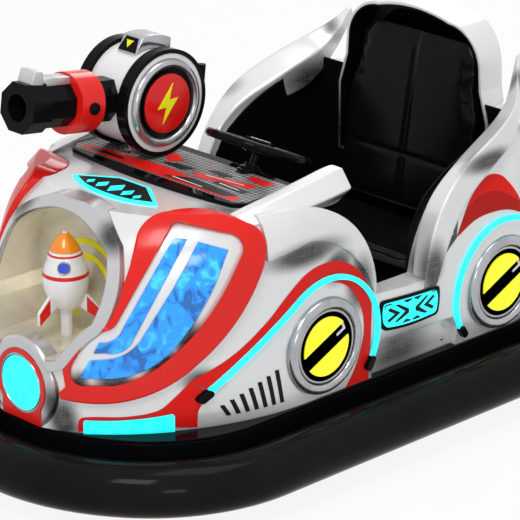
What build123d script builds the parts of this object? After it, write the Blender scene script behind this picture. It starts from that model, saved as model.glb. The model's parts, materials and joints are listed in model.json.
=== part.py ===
"""Battery bumper car for a parent and child, built from its real mouldings and running gear.

Millimetres.  +X points forward, +Y to the car's left, +Z up.  The origin lies on the floor
under the middle of the car.  Left and right are mirror images, apart from the steering wheel,
which is on the left, and the toy water cannon, which is on the right.
"""
import os
from math import atan2, cos, pi, radians, sin, sqrt

from build123d import *

# ---------------------------------------------------------------- clearances and cutting blocks
SEAT_GAP = 0.3              # clearance between pieces that lie against each other
RUNNING_GAP = 0.05          # radial clearance of a shaft in its bore
FAR = 1200                  # further than the car reaches, for cutting blocks
PAST = 1                    # how far a cutter runs past the face that it cuts

# ---------------------------------------------------------------- driving dimensions
# Bumper tube, and the plinth that it runs round
TUBE_R = 75                 # radius of the rubber bumper tube
TUBE_Z = 120                # height of its centre line
PLINTH_HALF = 462           # half-width of the plinth
PLINTH_BULGE = 38           # how much the radius of its bow is larger than the half-width
PLINTH_NOSE = 810
REAR_X = -810               # rear face of the plinth and of the body
REAR_CORNER_R = 180
PLINTH_TOP = 225            # top of the plinth, where the body mouldings stand
PLINTH_BOTTOM = 85
PLINTH_WALL = 10
DECK_T = 10                 # thickness of the floor pan

# Body mouldings
WALL = 8                    # thickness of the body mouldings
NOSE_X = 822                # foremost point of the body
BODY_HALF = 458
BODY_TOP = 785              # height of the flat bonnet
SILL_Z = 467                # door sill
DOOR_FRONT_X = -58          # rear end of the front body
DOOR_REAR_X = -255          # front end of the rear body's sides
ARCH_R = 300                # radius of the round shoulder over the front side lamp
BROW_T = 12                 # how far the band under the shoulder stands proud
COCKPIT_HALF = 398          # half-width of the cockpit between the mouldings
COCKPIT_REAR = -700
FOOTWELL_X = 330            # front of the footwell, under the display board
DASH_X = 104                # rear edge of the bonnet over the footwell
LINER_T = 5                 # thickness of the black cockpit liner
LINER_RISE = 18             # how far the liner stands above the tail's sides

# Running gear
FRAME_TUBE = 40             # square tube of the chassis
RAIL_Y = 215                # middle of each long rail
RAIL_FRONT, RAIL_REAR = 650, -770
CROSS_X = [-750, -330, 60, 290, 630]
LIFT_HOLES_X = (-430, 210)  # holes through the rails, where a lifting trolley is bolted
LIFT_HOLE_R = 5.5
BRACKET_T = 10              # plates that hold the rear axle
BRACKET_REACH = 45          # half-length of such a plate
DRIVE_X = 470               # steering axis of the single driven front wheel
DRIVE_WHEEL_R = 95
DRIVE_WHEEL_W = 55
DRIVE_OPENING_R = 112       # round opening in the floor over the steered wheel
REAR_AXLE_X = -560
REAR_WHEEL_R = 80
REAR_WHEEL_W = 45
REAR_TRACK_HALF = 300       # half the distance between the rear wheels' middles
AXLE_R = 12.5

# Round side lamps: each with its place along the car and how far out its rim reaches
LAMP_R = 137
LAMP_Z = 375
LAMP_PLACES = {"front": 131, "rear": -569}
LAMP_OUT = {"front": 474, "rear": 486}

# Nose lamp
NOSE_LAMP_Z = 330
NOSE_LAMP_R = 130
NOSE_LAMP_FACE = 811        # front face of its housing
NOSE_LAMP_BACK = 760

# Steering
WHEEL_AT = (83, 155, 854)   # middle of the steering wheel
WHEEL_R = 138
WHEEL_GRIP_R = 12
COLUMN_LEAN = 25            # degrees that the column leans back from upright

# Cannon
GUN_X, GUN_Y = 225, -190    # swivel axis of the cannon
GUN_AXIS_Z = 950            # height of the drum's axis
GUN_PITCH = 8               # degrees that the barrel points up
DRUM_R = 150
DRUM_W = 200
BARREL_REACH = 445          # from the drum's axis to the muzzle
BARREL_ACROSS = 116

# ---------------------------------------------------------------- body outlines by height
COLUMNS = ("z", "nose", "nose_r", "flank_r", "half", "rear", "rear_r")


def levels(rows):
    """Plan outlines at rising heights: bow radius, flank radius, half-width and rear corners."""
    return [dict(zip(COLUMNS, row)) for row in rows]


BODY_LEVELS = levels([
    (PLINTH_TOP, NOSE_X, 300, 745, BODY_HALF - 3, REAR_X + 2, 180),
    (360, NOSE_X, 300, 745, BODY_HALF, REAR_X, 180),
    (520, NOSE_X - 17, 300, 745, BODY_HALF, REAR_X, 180),
    (640, NOSE_X - 77, 300, 560, BODY_HALF - 3, REAR_X - 5, 180),
    (740, NOSE_X - 157, 300, 460, BODY_HALF - 13, REAR_X + 5, 180),
    (BODY_TOP, NOSE_X - 222, 290, 440, BODY_HALF - 38, REAR_X + 20, 180),
])
# The tail has levels of its own, because it is fuller at the sides and rises behind the seat.
TAIL_NOSE = 400
TAIL_LEVELS = levels([
    (PLINTH_TOP, TAIL_NOSE, 300, 745, BODY_HALF - 3, REAR_X + 2, 180),
    (450, TAIL_NOSE, 300, 745, BODY_HALF + 16, REAR_X - 2, 190),
    (620, TAIL_NOSE, 300, 745, BODY_HALF + 12, REAR_X, 200),
    (740, TAIL_NOSE, 300, 745, BODY_HALF - 10, REAR_X - 2, 215),
    (850, TAIL_NOSE, 300, 745, BODY_HALF - 56, REAR_X + 15, 230),
])
PLINTH = dict(nose=PLINTH_NOSE, nose_r=PLINTH_HALF + PLINTH_BULGE, flank_r=400, half=PLINTH_HALF,
              rear=REAR_X, rear_r=REAR_CORNER_R)

# ---------------------------------------------------------------- helpers


def plan_wire(level, grow=0.0, z=0.0):
    """Closed plan outline of arcs and lines: nose arc, flank arcs, sides and rounded rear."""
    nose, half = level["nose"] + grow, level["half"] + grow
    nose_r, flank_r = level["nose_r"] + grow, level["flank_r"] + grow
    rear, rear_r = level["rear"] - grow, level["rear_r"] + grow
    nose_c = nose - nose_r
    span = sqrt((flank_r - nose_r) ** 2 - (flank_r - half) ** 2)
    flank_x = nose_c + (span if nose_r > flank_r else -span)
    flank_y = half - flank_r
    turn = atan2(flank_y, flank_x - nose_c) if nose_r > flank_r else atan2(-flank_y, nose_c - flank_x)

    def on_flank(angle):
        return (flank_x + flank_r * cos(angle), flank_y + flank_r * sin(angle))

    def flip(point):
        return (point[0], -point[1])

    join, mid, top = on_flank(turn), on_flank((turn + pi / 2) / 2), (flank_x, half)
    corner = rear_r * (1 - cos(pi / 4))
    rear_side, rear_end = (rear + rear_r, half), (rear, half - rear_r)
    rear_mid = (rear + corner, half - corner)
    edges = [
        ThreePointArc(flip(join), (nose, 0), join),
        ThreePointArc(join, mid, top),
        Line(top, rear_side),
        ThreePointArc(rear_side, rear_mid, rear_end),
        Line(rear_end, flip(rear_end)),
        ThreePointArc(flip(rear_end), flip(rear_mid), flip(rear_side)),
        Line(flip(rear_side), flip(top)),
        ThreePointArc(flip(top), flip(mid), flip(join)),
    ]
    return Wire(edges).moved(Location((0, 0, z)))


def plan_face(level, grow=0.0, z=0.0):
    return Face(plan_wire(level, grow, z))


def extruded(face, travel):
    """Block swept by a flat face along a vector, whichever way the face looks."""
    travel = Vector(*travel)
    if face.normal_at().dot(travel) < 0:
        face = -face
    return Solid.extrude(face, travel)


def lofted(faces, ruled=False):
    """Solid through flat sections."""
    return Solid(loft([Sketch(face.wrapped) for face in faces], ruled=ruled).wrapped)


def slab(level, low, high, grow=0.0):
    """Straight-sided block of a plan outline between two heights."""
    return extruded(plan_face(level, grow, low), (0, 0, high - low))


def hull(grow=0.0):
    """The whole body as one smooth block; grow makes it larger all round."""
    rows = [plan_face(row, grow, row["z"]) for row in BODY_LEVELS]
    return lofted(rows[:-1] + [rows[-1].moved(Location((0, 0, grow)))])


def tail_hull(grow=0.0):
    return lofted([plan_face(row, grow, row["z"]) for row in TAIL_LEVELS])


def box(low, high):
    """Axis-aligned block from its two opposite corners."""
    size = [high[i] - low[i] for i in range(3)]
    return Solid.make_box(*size).moved(Location(low))


def rod(start, end, radius):
    """Round bar between two points."""
    axis = Vector(*end) - Vector(*start)
    return Solid.make_cylinder(radius, axis.length, Plane(origin=start, z_dir=axis))


def ring(start, end, outer, inner):
    """Round tube between two points."""
    step = (Vector(*end) - Vector(*start)).normalized() * PAST
    return rod(start, end, outer) - rod(Vector(*start) - step, Vector(*end) + step, inner)


def mirrored(shape):
    return shape.mirror(Plane.XZ)


def pair(shape):
    """A piece and its mirror image on the other side."""
    return Compound(children=[*shape.solids(), *mirrored(shape).solids()])


def main_solid(shape):
    """The largest solid of a shape, without the slivers that a cut leaves."""
    return shape.solids().sort_by(SortBy.VOLUME)[-1]


def profile(points, plane):
    """Closed wire in a plane.  A point is (u, v); a point marked True is the middle of an arc."""
    edges, at = [], points[0]
    index, last = 1, len(points)
    while index <= last:
        point = points[index % last]
        if len(point) == 3:
            after = points[(index + 1) % last]
            edges.append(ThreePointArc(at[:2], point[:2], after[:2]))
            at, index = after, index + 2
        else:
            edges.append(Line(at[:2], point[:2]))
            at, index = point, index + 1
    return plane.location * Wire(edges)


def both_halves(right, crown):
    """Outline from its right half and the point where the two halves meet at the top."""
    left = [(-point[0], *point[1:]) for point in reversed(right)]
    return right + [crown] + left


def side_prism(points, half=FAR):
    """Block across the car, or to half a width, with an outline drawn in X and Z."""
    return extruded(Face(profile(points, Plane.XZ.offset(half))), (0, 2 * half, 0))


def save(name, shape):
    """Write one piece; a piece made of separate solids is written as one compound."""
    solids = list(shape.solids())
    whole = solids[0] if len(solids) == 1 else Compound(children=solids)
    whole.label = name
    export_step(whole, f"parts/{name}.step")


# ---------------------------------------------------------------- shape of the body mouldings
SHOULDER_X = DOOR_FRONT_X + ARCH_R         # middle of the round shoulder
SHOULDER_Z = BODY_TOP - ARCH_R + PAST
BODY = hull()
TAIL = tail_hull()


def front_outline(inset=0.0):
    """Side view of the front body: the round shoulder falls to the door sill."""
    radius = ARCH_R - inset
    lean = radius * cos(pi / 4)
    return [
        (DOOR_FRONT_X + inset, 0), (DOOR_FRONT_X + inset, SHOULDER_Z),
        (SHOULDER_X - lean, SHOULDER_Z + lean, True), (SHOULDER_X, SHOULDER_Z + radius),
        (SHOULDER_X, FAR), (FAR, FAR), (FAR, 0),
    ]


def tail_outline(inset=0.0):
    """Side view of the tail: the sill, then the edge that carries the ribbon, up to the rear."""
    front = DOOR_FRONT_X - SEAT_GAP - inset
    points = [
        (DOOR_REAR_X, SILL_Z), (-283, 560, True), (-335, 650), (-425, 710, True), (-530, 752),
        (-640, 790), (REAR_X - 90, 852),
    ]
    rest = [(point[0] - inset, point[1] - inset, *point[2:]) for point in points]
    return [(front, 0), (front, SILL_Z - inset), *rest, (REAR_X - 90, 0)]


def cockpit(inset=0.0):
    """The room for legs, seat and arms between the mouldings; inset draws its walls in."""
    roof = BODY_TOP - WALL - SEAT_GAP - inset
    outline = [
        (COCKPIT_REAR + inset, PLINTH_TOP + inset), (COCKPIT_REAR + inset, FAR),
        (DASH_X - inset, FAR), (DASH_X - inset, roof),
        (FOOTWELL_X - inset, roof), (FOOTWELL_X - inset, PLINTH_TOP + inset),
    ]
    return side_prism(outline, COCKPIT_HALF - inset)


def lamp_bore(place, radius):
    x = LAMP_PLACES[place]
    return rod((x, COCKPIT_HALF - WALL, LAMP_Z), (x, FAR, LAMP_Z), radius)


# The proud band of the shoulder ends in this curve over the light strip: (x, z), the first at
# its front end.
BROW_EDGE = [(335, 668), (190, 691), (68, 641, True), (-50, 478)]
BROW_INNER_Y = 380

# Panel of the sill between the two side lamps; below its edge the skirt is set back.
SKIRT = [(-75, 0), (-75, 300), (-104, 326), (-372, 320), (-398, 282), (-398, 0)]
SKIRT_DEPTH = 26

# ---------------------------------------------------------------- nose bowl and arch
# Right half of the bowl's mouth seen from the front, from beside the lamp up to the crown.
BOWL_HALF = [
    (75, 415), (132, 428), (178, 500), (205, 532), (213, 600, True), (184, 705), (100, 757, True),
]
BOWL_CROWN = (0, 776)
BOWL_BACK = 560             # deepest point of the bowl
BOWL_WALL = 6
ARCH_BAND = 28              # width of the silver frame round the bowl
ARCH_T = 16
ARCH_ROUND = 5


def nose_prism(grow, back, front):
    """Block of the bowl's mouth along the car, grown by an even band."""
    right = BOWL_HALF[:-1]
    outline = [*right, BOWL_HALF[-1], BOWL_CROWN, (-BOWL_HALF[-1][0], BOWL_HALF[-1][1], True),
               *[(-point[0], *point[1:]) for point in reversed(right)]]
    wire = profile(outline, Plane.YZ)
    if grow:
        wire = wire.offset_2d(grow)
    return extruded(Face(wire).moved(Location((back, 0, 0))), (front - back, 0, 0))


def nose_lamp_space():
    """What the nose lamp's housing takes out of the pieces round it."""
    back = NOSE_LAMP_BACK - SEAT_GAP
    return rod((back, 0, NOSE_LAMP_Z), (FAR, 0, NOSE_LAMP_Z), NOSE_LAMP_R + SEAT_GAP)


# ---------------------------------------------------------------- trims of the front corners
# The corner trims are cut square to a plane that faces forwards, outwards and a little up.
# Their outlines are (across, up) in that plane, measured from the car's origin.
TRIM_TURN, TRIM_LIFT = radians(45.7), radians(20.8)
TRIM_OUT = Vector(cos(TRIM_LIFT) * cos(TRIM_TURN), cos(TRIM_LIFT) * sin(TRIM_TURN), sin(TRIM_LIFT))
TRIM_PLANE = Plane(origin=(0, 0, 0), x_dir=(-sin(TRIM_TURN), cos(TRIM_TURN), 0), z_dir=TRIM_OUT)
RIM_PROUD = 20              # how far the red frame stands off the body
RIM_ROUND = 8
FACE_PROUD = 8
LENS_PROUD = 12
APRON_PROUD = 5

POD_RIM = [
    (-285, 418), (-267, 500), (-240, 538, True), (-188, 560), (-130, 568.5, True), (-62, 561),
    (-12, 546), (20, 530), (58, 504, True), (70, 466), (65, 418), (-16, 258, True), (-110, 157),
    (-210, 89, True), (-324, 56), (-397, 55, True), (-470, 67), (-476, 83), (-457, 99), (-464, 142),
    (-393, 252), (-348, 261), (-325, 300, True), (-306, 355),
]
POD_FACE = [
    (-204, 472), (-182, 513), (-173, 528, True), (-155, 531), (-34, 503), (2, 484, True), (10, 452),
    (-16, 395), (-106, 251, True), (-206, 156), (-267, 121, True), (-332, 102), (-396, 103),
    (-438, 118, True), (-444, 143), (-440, 156), (-394, 234), (-348, 247), (-328, 257, True),
    (-315, 275),
]
POD_STRIPE = [
    (-171, 490), (-304, 252), (-330, 222, True), (-366, 216), (-381, 188), (-350, 189),
    (-300, 197, True), (-279, 221), (-137, 486),
]
POD_WINDOW = [
    (-107, 479), (-30, 458), (-62, 372), (-111, 281, True), (-172, 199), (-249, 143, True), (-345, 121),
    (-419, 123), (-392, 168), (-350, 171), (-299, 185, True), (-258, 221), (-171, 359),
]
APRON_LAMP = [
    (-412, -60), (-412, 3), (-409, 9, True), (-402, 10), (-290, 11, True), (-180, 26),
    (-173, 23, True), (-171, 16), (-171, -60),
]


def corner_prism(outline, grow=0.0):
    """Block of a corner outline, square to the trim plane, on the left side of the car."""
    wire = profile(outline, Plane.XY)
    if grow:
        wire = wire.offset_2d(grow)
    face = TRIM_PLANE.location * Face(wire)
    return extruded(face.moved(Location(TRIM_OUT * TUBE_R)), TRIM_OUT * FAR)


def on_corner(outline, low, high, grow=0.0):
    """A sheet that lies on the front corner, from low to high above the body's surface."""
    return (hull(high) - hull(low)) & corner_prism(outline, grow)


def rounded_outside(sheet, way, radius):
    """Round the edges of the face that looks out of a sheet."""
    outer = max(sheet.faces().sort_by(SortBy.AREA)[-2:], key=lambda face: face.center().dot(way))
    return sheet.fillet(radius, outer.edges())


# ---------------------------------------------------------------- plinth, floor and chassis
FLOOR_LOW = PLINTH_TOP - DECK_T


def bumper_ring():
    """Rubber tube that runs all round the plinth; a smooth sweep of a circle."""
    path = plan_wire(PLINTH, TUBE_R + SEAT_GAP, TUBE_Z)
    start = path.edges()[0]
    section = Plane(origin=start @ 0, z_dir=start % 0) * Circle(TUBE_R)
    return sweep(section, path=path, transition=Transition.RIGHT)


def plinth():
    inside = slab(PLINTH, PLINTH_BOTTOM - PAST, FLOOR_LOW + PAST, -PLINTH_WALL)
    return slab(PLINTH, PLINTH_BOTTOM, FLOOR_LOW) - inside


def floor_pan():
    opening = rod((DRIVE_X, 0, 0), (DRIVE_X, 0, FAR), DRIVE_OPENING_R)
    return slab(PLINTH, FLOOR_LOW, PLINTH_TOP) - opening


FRAME_LOW = FLOOR_LOW - FRAME_TUBE
BRACKET_DROP = 30           # how far a bracket reaches below the axle's middle


def chassis_frame():
    """Two long rails, cross tubes, and the two plates that hold the rear axle."""
    half = FRAME_TUBE / 2
    bracket_y = RAIL_Y + half + BRACKET_T / 2
    frame = None
    for y in (RAIL_Y, -RAIL_Y):
        rail = box((RAIL_REAR, y - half, FRAME_LOW), (RAIL_FRONT, y + half, FLOOR_LOW))
        frame = rail if frame is None else frame + rail
    for x in CROSS_X:
        frame += box((x - half, -RAIL_Y, FRAME_LOW), (x + half, RAIL_Y, FLOOR_LOW))
    for y in (bracket_y, -bracket_y):
        frame += box((REAR_AXLE_X - BRACKET_REACH, y - BRACKET_T / 2, REAR_WHEEL_R - BRACKET_DROP),
                     (REAR_AXLE_X + BRACKET_REACH, y + BRACKET_T / 2, FLOOR_LOW))
    for x in LIFT_HOLES_X:
        for y in (RAIL_Y, -RAIL_Y):
            frame -= rod((x, y, 0), (x, y, FAR), LIFT_HOLE_R)
    axle = rod((REAR_AXLE_X, -FAR, REAR_WHEEL_R), (REAR_AXLE_X, FAR, REAR_WHEEL_R), AXLE_R + SEAT_GAP / 3)
    return frame - axle


AXLE_END = 12               # how far the axle sticks out past each wheel


def rear_axle():
    reach = REAR_TRACK_HALF + REAR_WHEEL_W / 2 + AXLE_END
    return rod((REAR_AXLE_X, -reach, REAR_WHEEL_R), (REAR_AXLE_X, reach, REAR_WHEEL_R), AXLE_R)


TYRE_T = 22
TYRE_ROUND = 8
HUB_INSET = 2               # the hub is this much narrower than the tyre, on each side
HUB_DISH = 10               # depth of the dished face
HUB_FLANGE = 8
HUB_BOSS = 12


def wheel_parts(x, y, radius, width, bore):
    """Tyre with rounded shoulders, and the dished hub that it is moulded on."""
    rim_r = radius - TYRE_T
    outer = rod((x, y - width / 2, radius), (x, y + width / 2, radius), radius)
    outer = outer.fillet(TYRE_ROUND, outer.edges())
    tyre = outer - rod((x, y - width, radius), (x, y + width, radius), rim_r)
    half = width / 2 - HUB_INSET
    hub = rod((x, y - half, radius), (x, y + half, radius), rim_r)
    for side in (1, -1):
        face = y + side * half
        hub -= ring((x, face - side * HUB_DISH, radius), (x, face + side * PAST, radius),
                    rim_r - HUB_FLANGE, bore + HUB_BOSS)
    return tyre, hub - rod((x, y - width, radius), (x, y + width, radius), bore)


# ---------------------------------------------------------------- steered drive unit
KING_R = 25                 # steering shaft of the drive unit
KING_TOP = PLINTH_TOP + 50
MOUNT_R = 130
MOUNT_T = 12
COLLAR_T = 15
COLLAR_TOP = PLINTH_TOP + 40
CROWN_LOW = 2 * DRIVE_WHEEL_R + 8
CROWN_T = 12
CROWN_HALF = 45
FORK_GAP = DRIVE_WHEEL_W / 2 + 6
FORK_T = 10
FORK_HALF = 30
DRIVE_MOTOR_R = 55
DRIVE_MOTOR_TOP = 400
DRIVE_AXLE_R = 10


def upright(x, y, low, high, radius):
    return rod((x, y, low), (x, y, high), radius)


def drive_mount():
    """Plate that bridges the floor opening and carries the steering bearing."""
    plate = upright(DRIVE_X, 0, PLINTH_TOP, PLINTH_TOP + MOUNT_T, MOUNT_R)
    collar = upright(DRIVE_X, 0, PLINTH_TOP + MOUNT_T, COLLAR_TOP, KING_R + COLLAR_T)
    return (plate + collar) - upright(DRIVE_X, 0, 0, FAR, KING_R + RUNNING_GAP)


def drive_fork():
    half = FORK_GAP + FORK_T
    fork = upright(DRIVE_X, 0, CROWN_LOW + CROWN_T, KING_TOP, KING_R)
    fork += box((DRIVE_X - CROWN_HALF, -half, CROWN_LOW), (DRIVE_X + CROWN_HALF, half, CROWN_LOW + CROWN_T))
    for side in (1, -1):
        y0, y1 = sorted((side * FORK_GAP, side * half))
        fork += box((DRIVE_X - FORK_HALF, y0, DRIVE_WHEEL_R), (DRIVE_X + FORK_HALF, y1, CROWN_LOW))
        fork += rod((DRIVE_X, y0, DRIVE_WHEEL_R), (DRIVE_X, y1, DRIVE_WHEEL_R), FORK_HALF)
    return fork + rod((DRIVE_X, -half, DRIVE_WHEEL_R), (DRIVE_X, half, DRIVE_WHEEL_R), DRIVE_AXLE_R)


def drive_motor():
    return upright(DRIVE_X, 0, KING_TOP, DRIVE_MOTOR_TOP, DRIVE_MOTOR_R)


# ---------------------------------------------------------------- steering wheel, column and pedal
COLUMN_AXIS = Vector(-sin(radians(COLUMN_LEAN)), 0, cos(radians(COLUMN_LEAN)))
COLUMN_R = 22
SHAFT_R = 10
COLUMN_FROM, COLUMN_TO = 48, 250    # ends of the column's tube below the wheel
SHAFT_END = 220
HUB_R, HUB_UNDER, HUB_OVER = 34, 20, 12
SPOKE_R = 8
SPOKE_DROP = 4


def column_point(along):
    """Point on the steering axis, a distance below the steering wheel's middle."""
    return Vector(*WHEEL_AT) - COLUMN_AXIS * along


def column_space():
    return rod(column_point(COLUMN_TO + PAST), column_point(0), COLUMN_R + SEAT_GAP)


def steering_column():
    return ring(column_point(COLUMN_TO), column_point(COLUMN_FROM), COLUMN_R, SHAFT_R + RUNNING_GAP)


def steering_wheel():
    """Rim, hub, three spokes and the shaft that runs down in the column."""
    plane = Plane(origin=WHEEL_AT, x_dir=(0, 1, 0), z_dir=COLUMN_AXIS)
    wheel = Solid.make_torus(WHEEL_R, WHEEL_GRIP_R, plane)
    hub = rod(column_point(HUB_UNDER), column_point(-HUB_OVER), HUB_R)
    wheel += hub.fillet(HUB_OVER / 2, hub.edges())
    wheel += rod(column_point(SHAFT_END), column_point(HUB_UNDER - PAST), SHAFT_R)
    for turn in (90, 210, 330):
        outward = plane.x_dir * cos(radians(turn)) + plane.y_dir * sin(radians(turn))
        wheel += rod(column_point(SPOKE_DROP), Vector(*WHEEL_AT) + outward * WHEEL_R, SPOKE_R)
    return wheel


PEDAL_X, PEDAL_Y = 262, 155
PEDAL_HALF, PEDAL_T, PEDAL_LEAN = 45, 12, 50
FLOOR_TOP = PLINTH_TOP + SEAT_GAP + LINER_T     # top of the liner on the floor


def pedal():
    """Treadle of the drive switch, hinged on a foot on the floor."""
    reach = 90
    foot = box((PEDAL_X - 10, PEDAL_Y - PEDAL_HALF, FLOOR_TOP + SEAT_GAP),
               (PEDAL_X + 20, PEDAL_Y + PEDAL_HALF, FLOOR_TOP + 24))
    plate = box((-8, PEDAL_Y - PEDAL_HALF, -PEDAL_T / 2), (reach, PEDAL_Y + PEDAL_HALF, PEDAL_T / 2))
    plate = plate.rotate(Axis.Y, -PEDAL_LEAN).moved(Location((PEDAL_X, 0, FLOOR_TOP + 22)))
    return foot + plate


# ---------------------------------------------------------------- body mouldings
GUN_POST_R = 20
GUN_COLLAR_T = 12           # wall of the collar that the cannon's post turns in


def gun_space(wall):
    """Round hole for the cannon's post and its collar."""
    return upright(GUN_X, GUN_Y, COLLAR_TOP, GUN_AXIS_Z - DRUM_R, GUN_POST_R + wall)


def brow():
    """Raised band that follows the round shoulder on the left flank."""
    outline = front_outline()[1:4] + [(BROW_EDGE[0][0], SHOULDER_Z + ARCH_R)] + BROW_EDGE
    band = (hull(BROW_T) - hull(-PAST)) & side_prism(outline)
    band &= box((-FAR, BROW_INNER_Y, 0), (FAR, FAR, FAR))
    return main_solid(band - corner_prism(POD_RIM, SEAT_GAP))


def front_body():
    """Nose, bonnet and front flanks: one moulding, open below, with the cockpit side walls."""
    shell = BODY & side_prism(front_outline())
    room = hull(-WALL) & side_prism(front_outline(WALL))
    shell = shell - (room - cockpit(-WALL)) - cockpit()
    shell -= nose_prism(0, BOWL_BACK, FAR)
    shell -= nose_lamp_space()
    bore = lamp_bore("front", LAMP_R + SEAT_GAP)
    shell = shell - bore - mirrored(bore) - gun_space(GUN_COLLAR_T) - column_space()
    band = brow()
    return main_solid(shell + band + mirrored(band))


def skirt_space(shrink=0.0):
    """What is set back under the sill on the left side; shrink is the wall left round it."""
    inner = PLINTH_HALF - SKIRT_DEPTH - shrink
    outline = [(x + (shrink if x > SKIRT[2][0] else -shrink), z + (shrink if z else 0)) for x, z in SKIRT]
    return side_prism(outline) & box((-FAR, inner, 0), (FAR, FAR, FAR))


def tail_body():
    """Tail: sill, sides up to the ribbons, rounded rear, and the deck round the seat's hood."""
    shell = TAIL & side_prism(tail_outline())
    room = tail_hull(-WALL) & side_prism(tail_outline(WALL))
    room -= cockpit(-WALL)
    recess, behind = skirt_space(), skirt_space(WALL)
    room = room - behind - mirrored(behind)
    shell = shell - recess - mirrored(recess) - room - cockpit()
    bore = lamp_bore("rear", LAMP_R + SEAT_GAP)
    shell = shell - bore - mirrored(bore)
    return main_solid(shell - ribbon() - mirrored(ribbon()) - hood_space())


def cockpit_liner():
    """Thin black lining of the cockpit: floor, side walls and the wall before the feet."""
    lining = cockpit(SEAT_GAP) - cockpit(SEAT_GAP + LINER_T)
    sill_top = SILL_Z - WALL
    sill = [(DOOR_REAR_X - WALL, 0), (DOOR_REAR_X - WALL, sill_top), (DOOR_FRONT_X + WALL, sill_top),
            (DOOR_FRONT_X + WALL, 0)]
    rear = side_prism(tail_outline(-LINER_RISE)) & box((-FAR, -FAR, 0), (DOOR_REAR_X, FAR, FAR))
    whole = (lining & side_prism(front_outline(WALL))) + (lining & side_prism(sill)) + (lining & rear)
    whole = whole - column_space() - gun_space(GUN_COLLAR_T) - hood_space()
    return main_solid(whole - ribbon() - mirrored(ribbon()))


# ---------------------------------------------------------------- nose pieces
LAMP_RING_R = 96            # red frame round the lens
LENS_R = 82
HOUSING_ROUND = 12
LAMP_RECESS = 16
RING_FOOT_HALF = 76         # the red frame runs straight down to the plinth


def nose_disc(back, front, radius):
    return rod((back, 0, NOSE_LAMP_Z), (front, 0, NOSE_LAMP_Z), radius)


def nose_lamp():
    """Round lamp housing, its red frame and its lens, cut off flat at the plinth."""
    seat = NOSE_LAMP_FACE - LAMP_RECESS
    above = box((BOWL_BACK, -FAR, PLINTH_TOP + SEAT_GAP), (FAR, FAR, FAR))

    def frame_block(front, grow):
        foot = box((seat, -RING_FOOT_HALF - grow, 0), (front, RING_FOOT_HALF + grow, NOSE_LAMP_Z))
        return nose_disc(seat, front, LAMP_RING_R + grow) + foot

    housing = nose_disc(NOSE_LAMP_BACK, NOSE_LAMP_FACE, NOSE_LAMP_R)
    housing = housing.fillet(HOUSING_ROUND, housing.edges().filter_by_position(Axis.X, seat, FAR))
    housing -= frame_block(FAR, SEAT_GAP)
    frame = frame_block(NOSE_LAMP_FACE + SEAT_GAP * 10, 0) - nose_disc(0, FAR, LENS_R + SEAT_GAP)
    return housing & above, frame & above, nose_disc(seat, NOSE_LAMP_FACE + PAST, LENS_R)


def nose_bowl():
    """Hollow dish behind the arch."""
    outer = nose_prism(-SEAT_GAP, BOWL_BACK - BOWL_WALL, FAR)
    inner = nose_prism(-SEAT_GAP - BOWL_WALL, BOWL_BACK, FAR + PAST)
    return main_solid(((outer - inner) & BODY) - nose_lamp_space())


def nose_arch():
    """Raised silver frame round the mouth of the bowl."""
    band = nose_prism(ARCH_BAND, BOWL_BACK, FAR) - nose_prism(0, BOWL_BACK - PAST, FAR + PAST)
    return main_solid(((hull(ARCH_T) - hull(SEAT_GAP)) & band) - nose_lamp_space())


ROCKET_X = 648              # middle of the ornament in the bowl
ROCKET_BASE = 505
ROCKET_TOP = 716
ROCKET_R = 62
FIN_REACH = 98
FIN_T = 10
STAND_R = 16
TIP_R = 4


def rocket_ornament():
    """Plump toy rocket on a short stand: a turned body with three swept fins."""
    low, top, full = ROCKET_BASE, ROCKET_TOP, ROCKET_R
    outline = [(0, low), (full * 0.55, low), (full, low + 66, True), (full * 0.82, low + 130),
               (full * 0.45, top - 26, True), (TIP_R, top), (0, top)]
    turned = Sketch(Face(profile(outline, Plane.XY)).wrapped)
    rocket = Solid(revolve(Plane.XZ * turned, Axis.Z, 360).wrapped)
    floor = BOWL_HALF[0][1] + SEAT_GAP + BOWL_WALL + SEAT_GAP
    rocket += upright(0, 0, floor, low + 5, STAND_R)
    fin = [(full * 0.5, low + 66), (FIN_REACH, low + 2), (FIN_REACH, low - 34), (full * 0.5, low + 8)]
    for turn in (0, 120, 240):
        blade = Face(profile(fin, Plane.XZ.offset(-FIN_T / 2)))
        rocket += extruded(blade, (0, -FIN_T, 0)).rotate(Axis.Z, turn)
    return rocket.moved(Location((ROCKET_X, 0, 0)))


# ---------------------------------------------------------------- corner trims as pieces


def beside_nose():
    """Space of the arch and the nose lamp, cut from the corner trims."""
    return nose_prism(ARCH_BAND + SEAT_GAP, BOWL_BACK - WALL, FAR)


def pod_rims():
    """Rounded red frame of each corner pod."""
    rim = main_solid(rounded_outside(main_solid(on_corner(POD_RIM, SEAT_GAP, RIM_PROUD)), TRIM_OUT, RIM_ROUND)
                     - corner_prism(POD_FACE, SEAT_GAP))
    return pair(main_solid(rim - beside_nose() - nose_lamp_space()))


def pod_faces():
    face = on_corner(POD_FACE, SEAT_GAP, FACE_PROUD)
    seat = APRON_PROUD
    for window in (POD_WINDOW, POD_STRIPE):
        face -= on_corner(window, seat, RIM_PROUD, SEAT_GAP)
    return pair(main_solid(face - beside_nose()))


def pod_lenses():
    seat = APRON_PROUD + SEAT_GAP
    lenses = [main_solid(on_corner(window, seat, LENS_PROUD)) for window in (POD_WINDOW, POD_STRIPE)]
    return pair(Compound(children=lenses))


def apron_lamps():
    return pair(main_solid(on_corner(APRON_LAMP, SEAT_GAP, APRON_PROUD)))


# ---------------------------------------------------------------- round side lamps
LAMP_IN = 440
LAMP_FACE_R = 108
LAMP_SINK = 10              # how far the dark face lies behind the rim's front
RIM_OUT_ROUND, RIM_IN_ROUND = 14, 8
SEGMENT_R = 84
SEGMENT_T = 4
BAR_W = 46                  # diagonal bar between the two yellow segments


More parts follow.
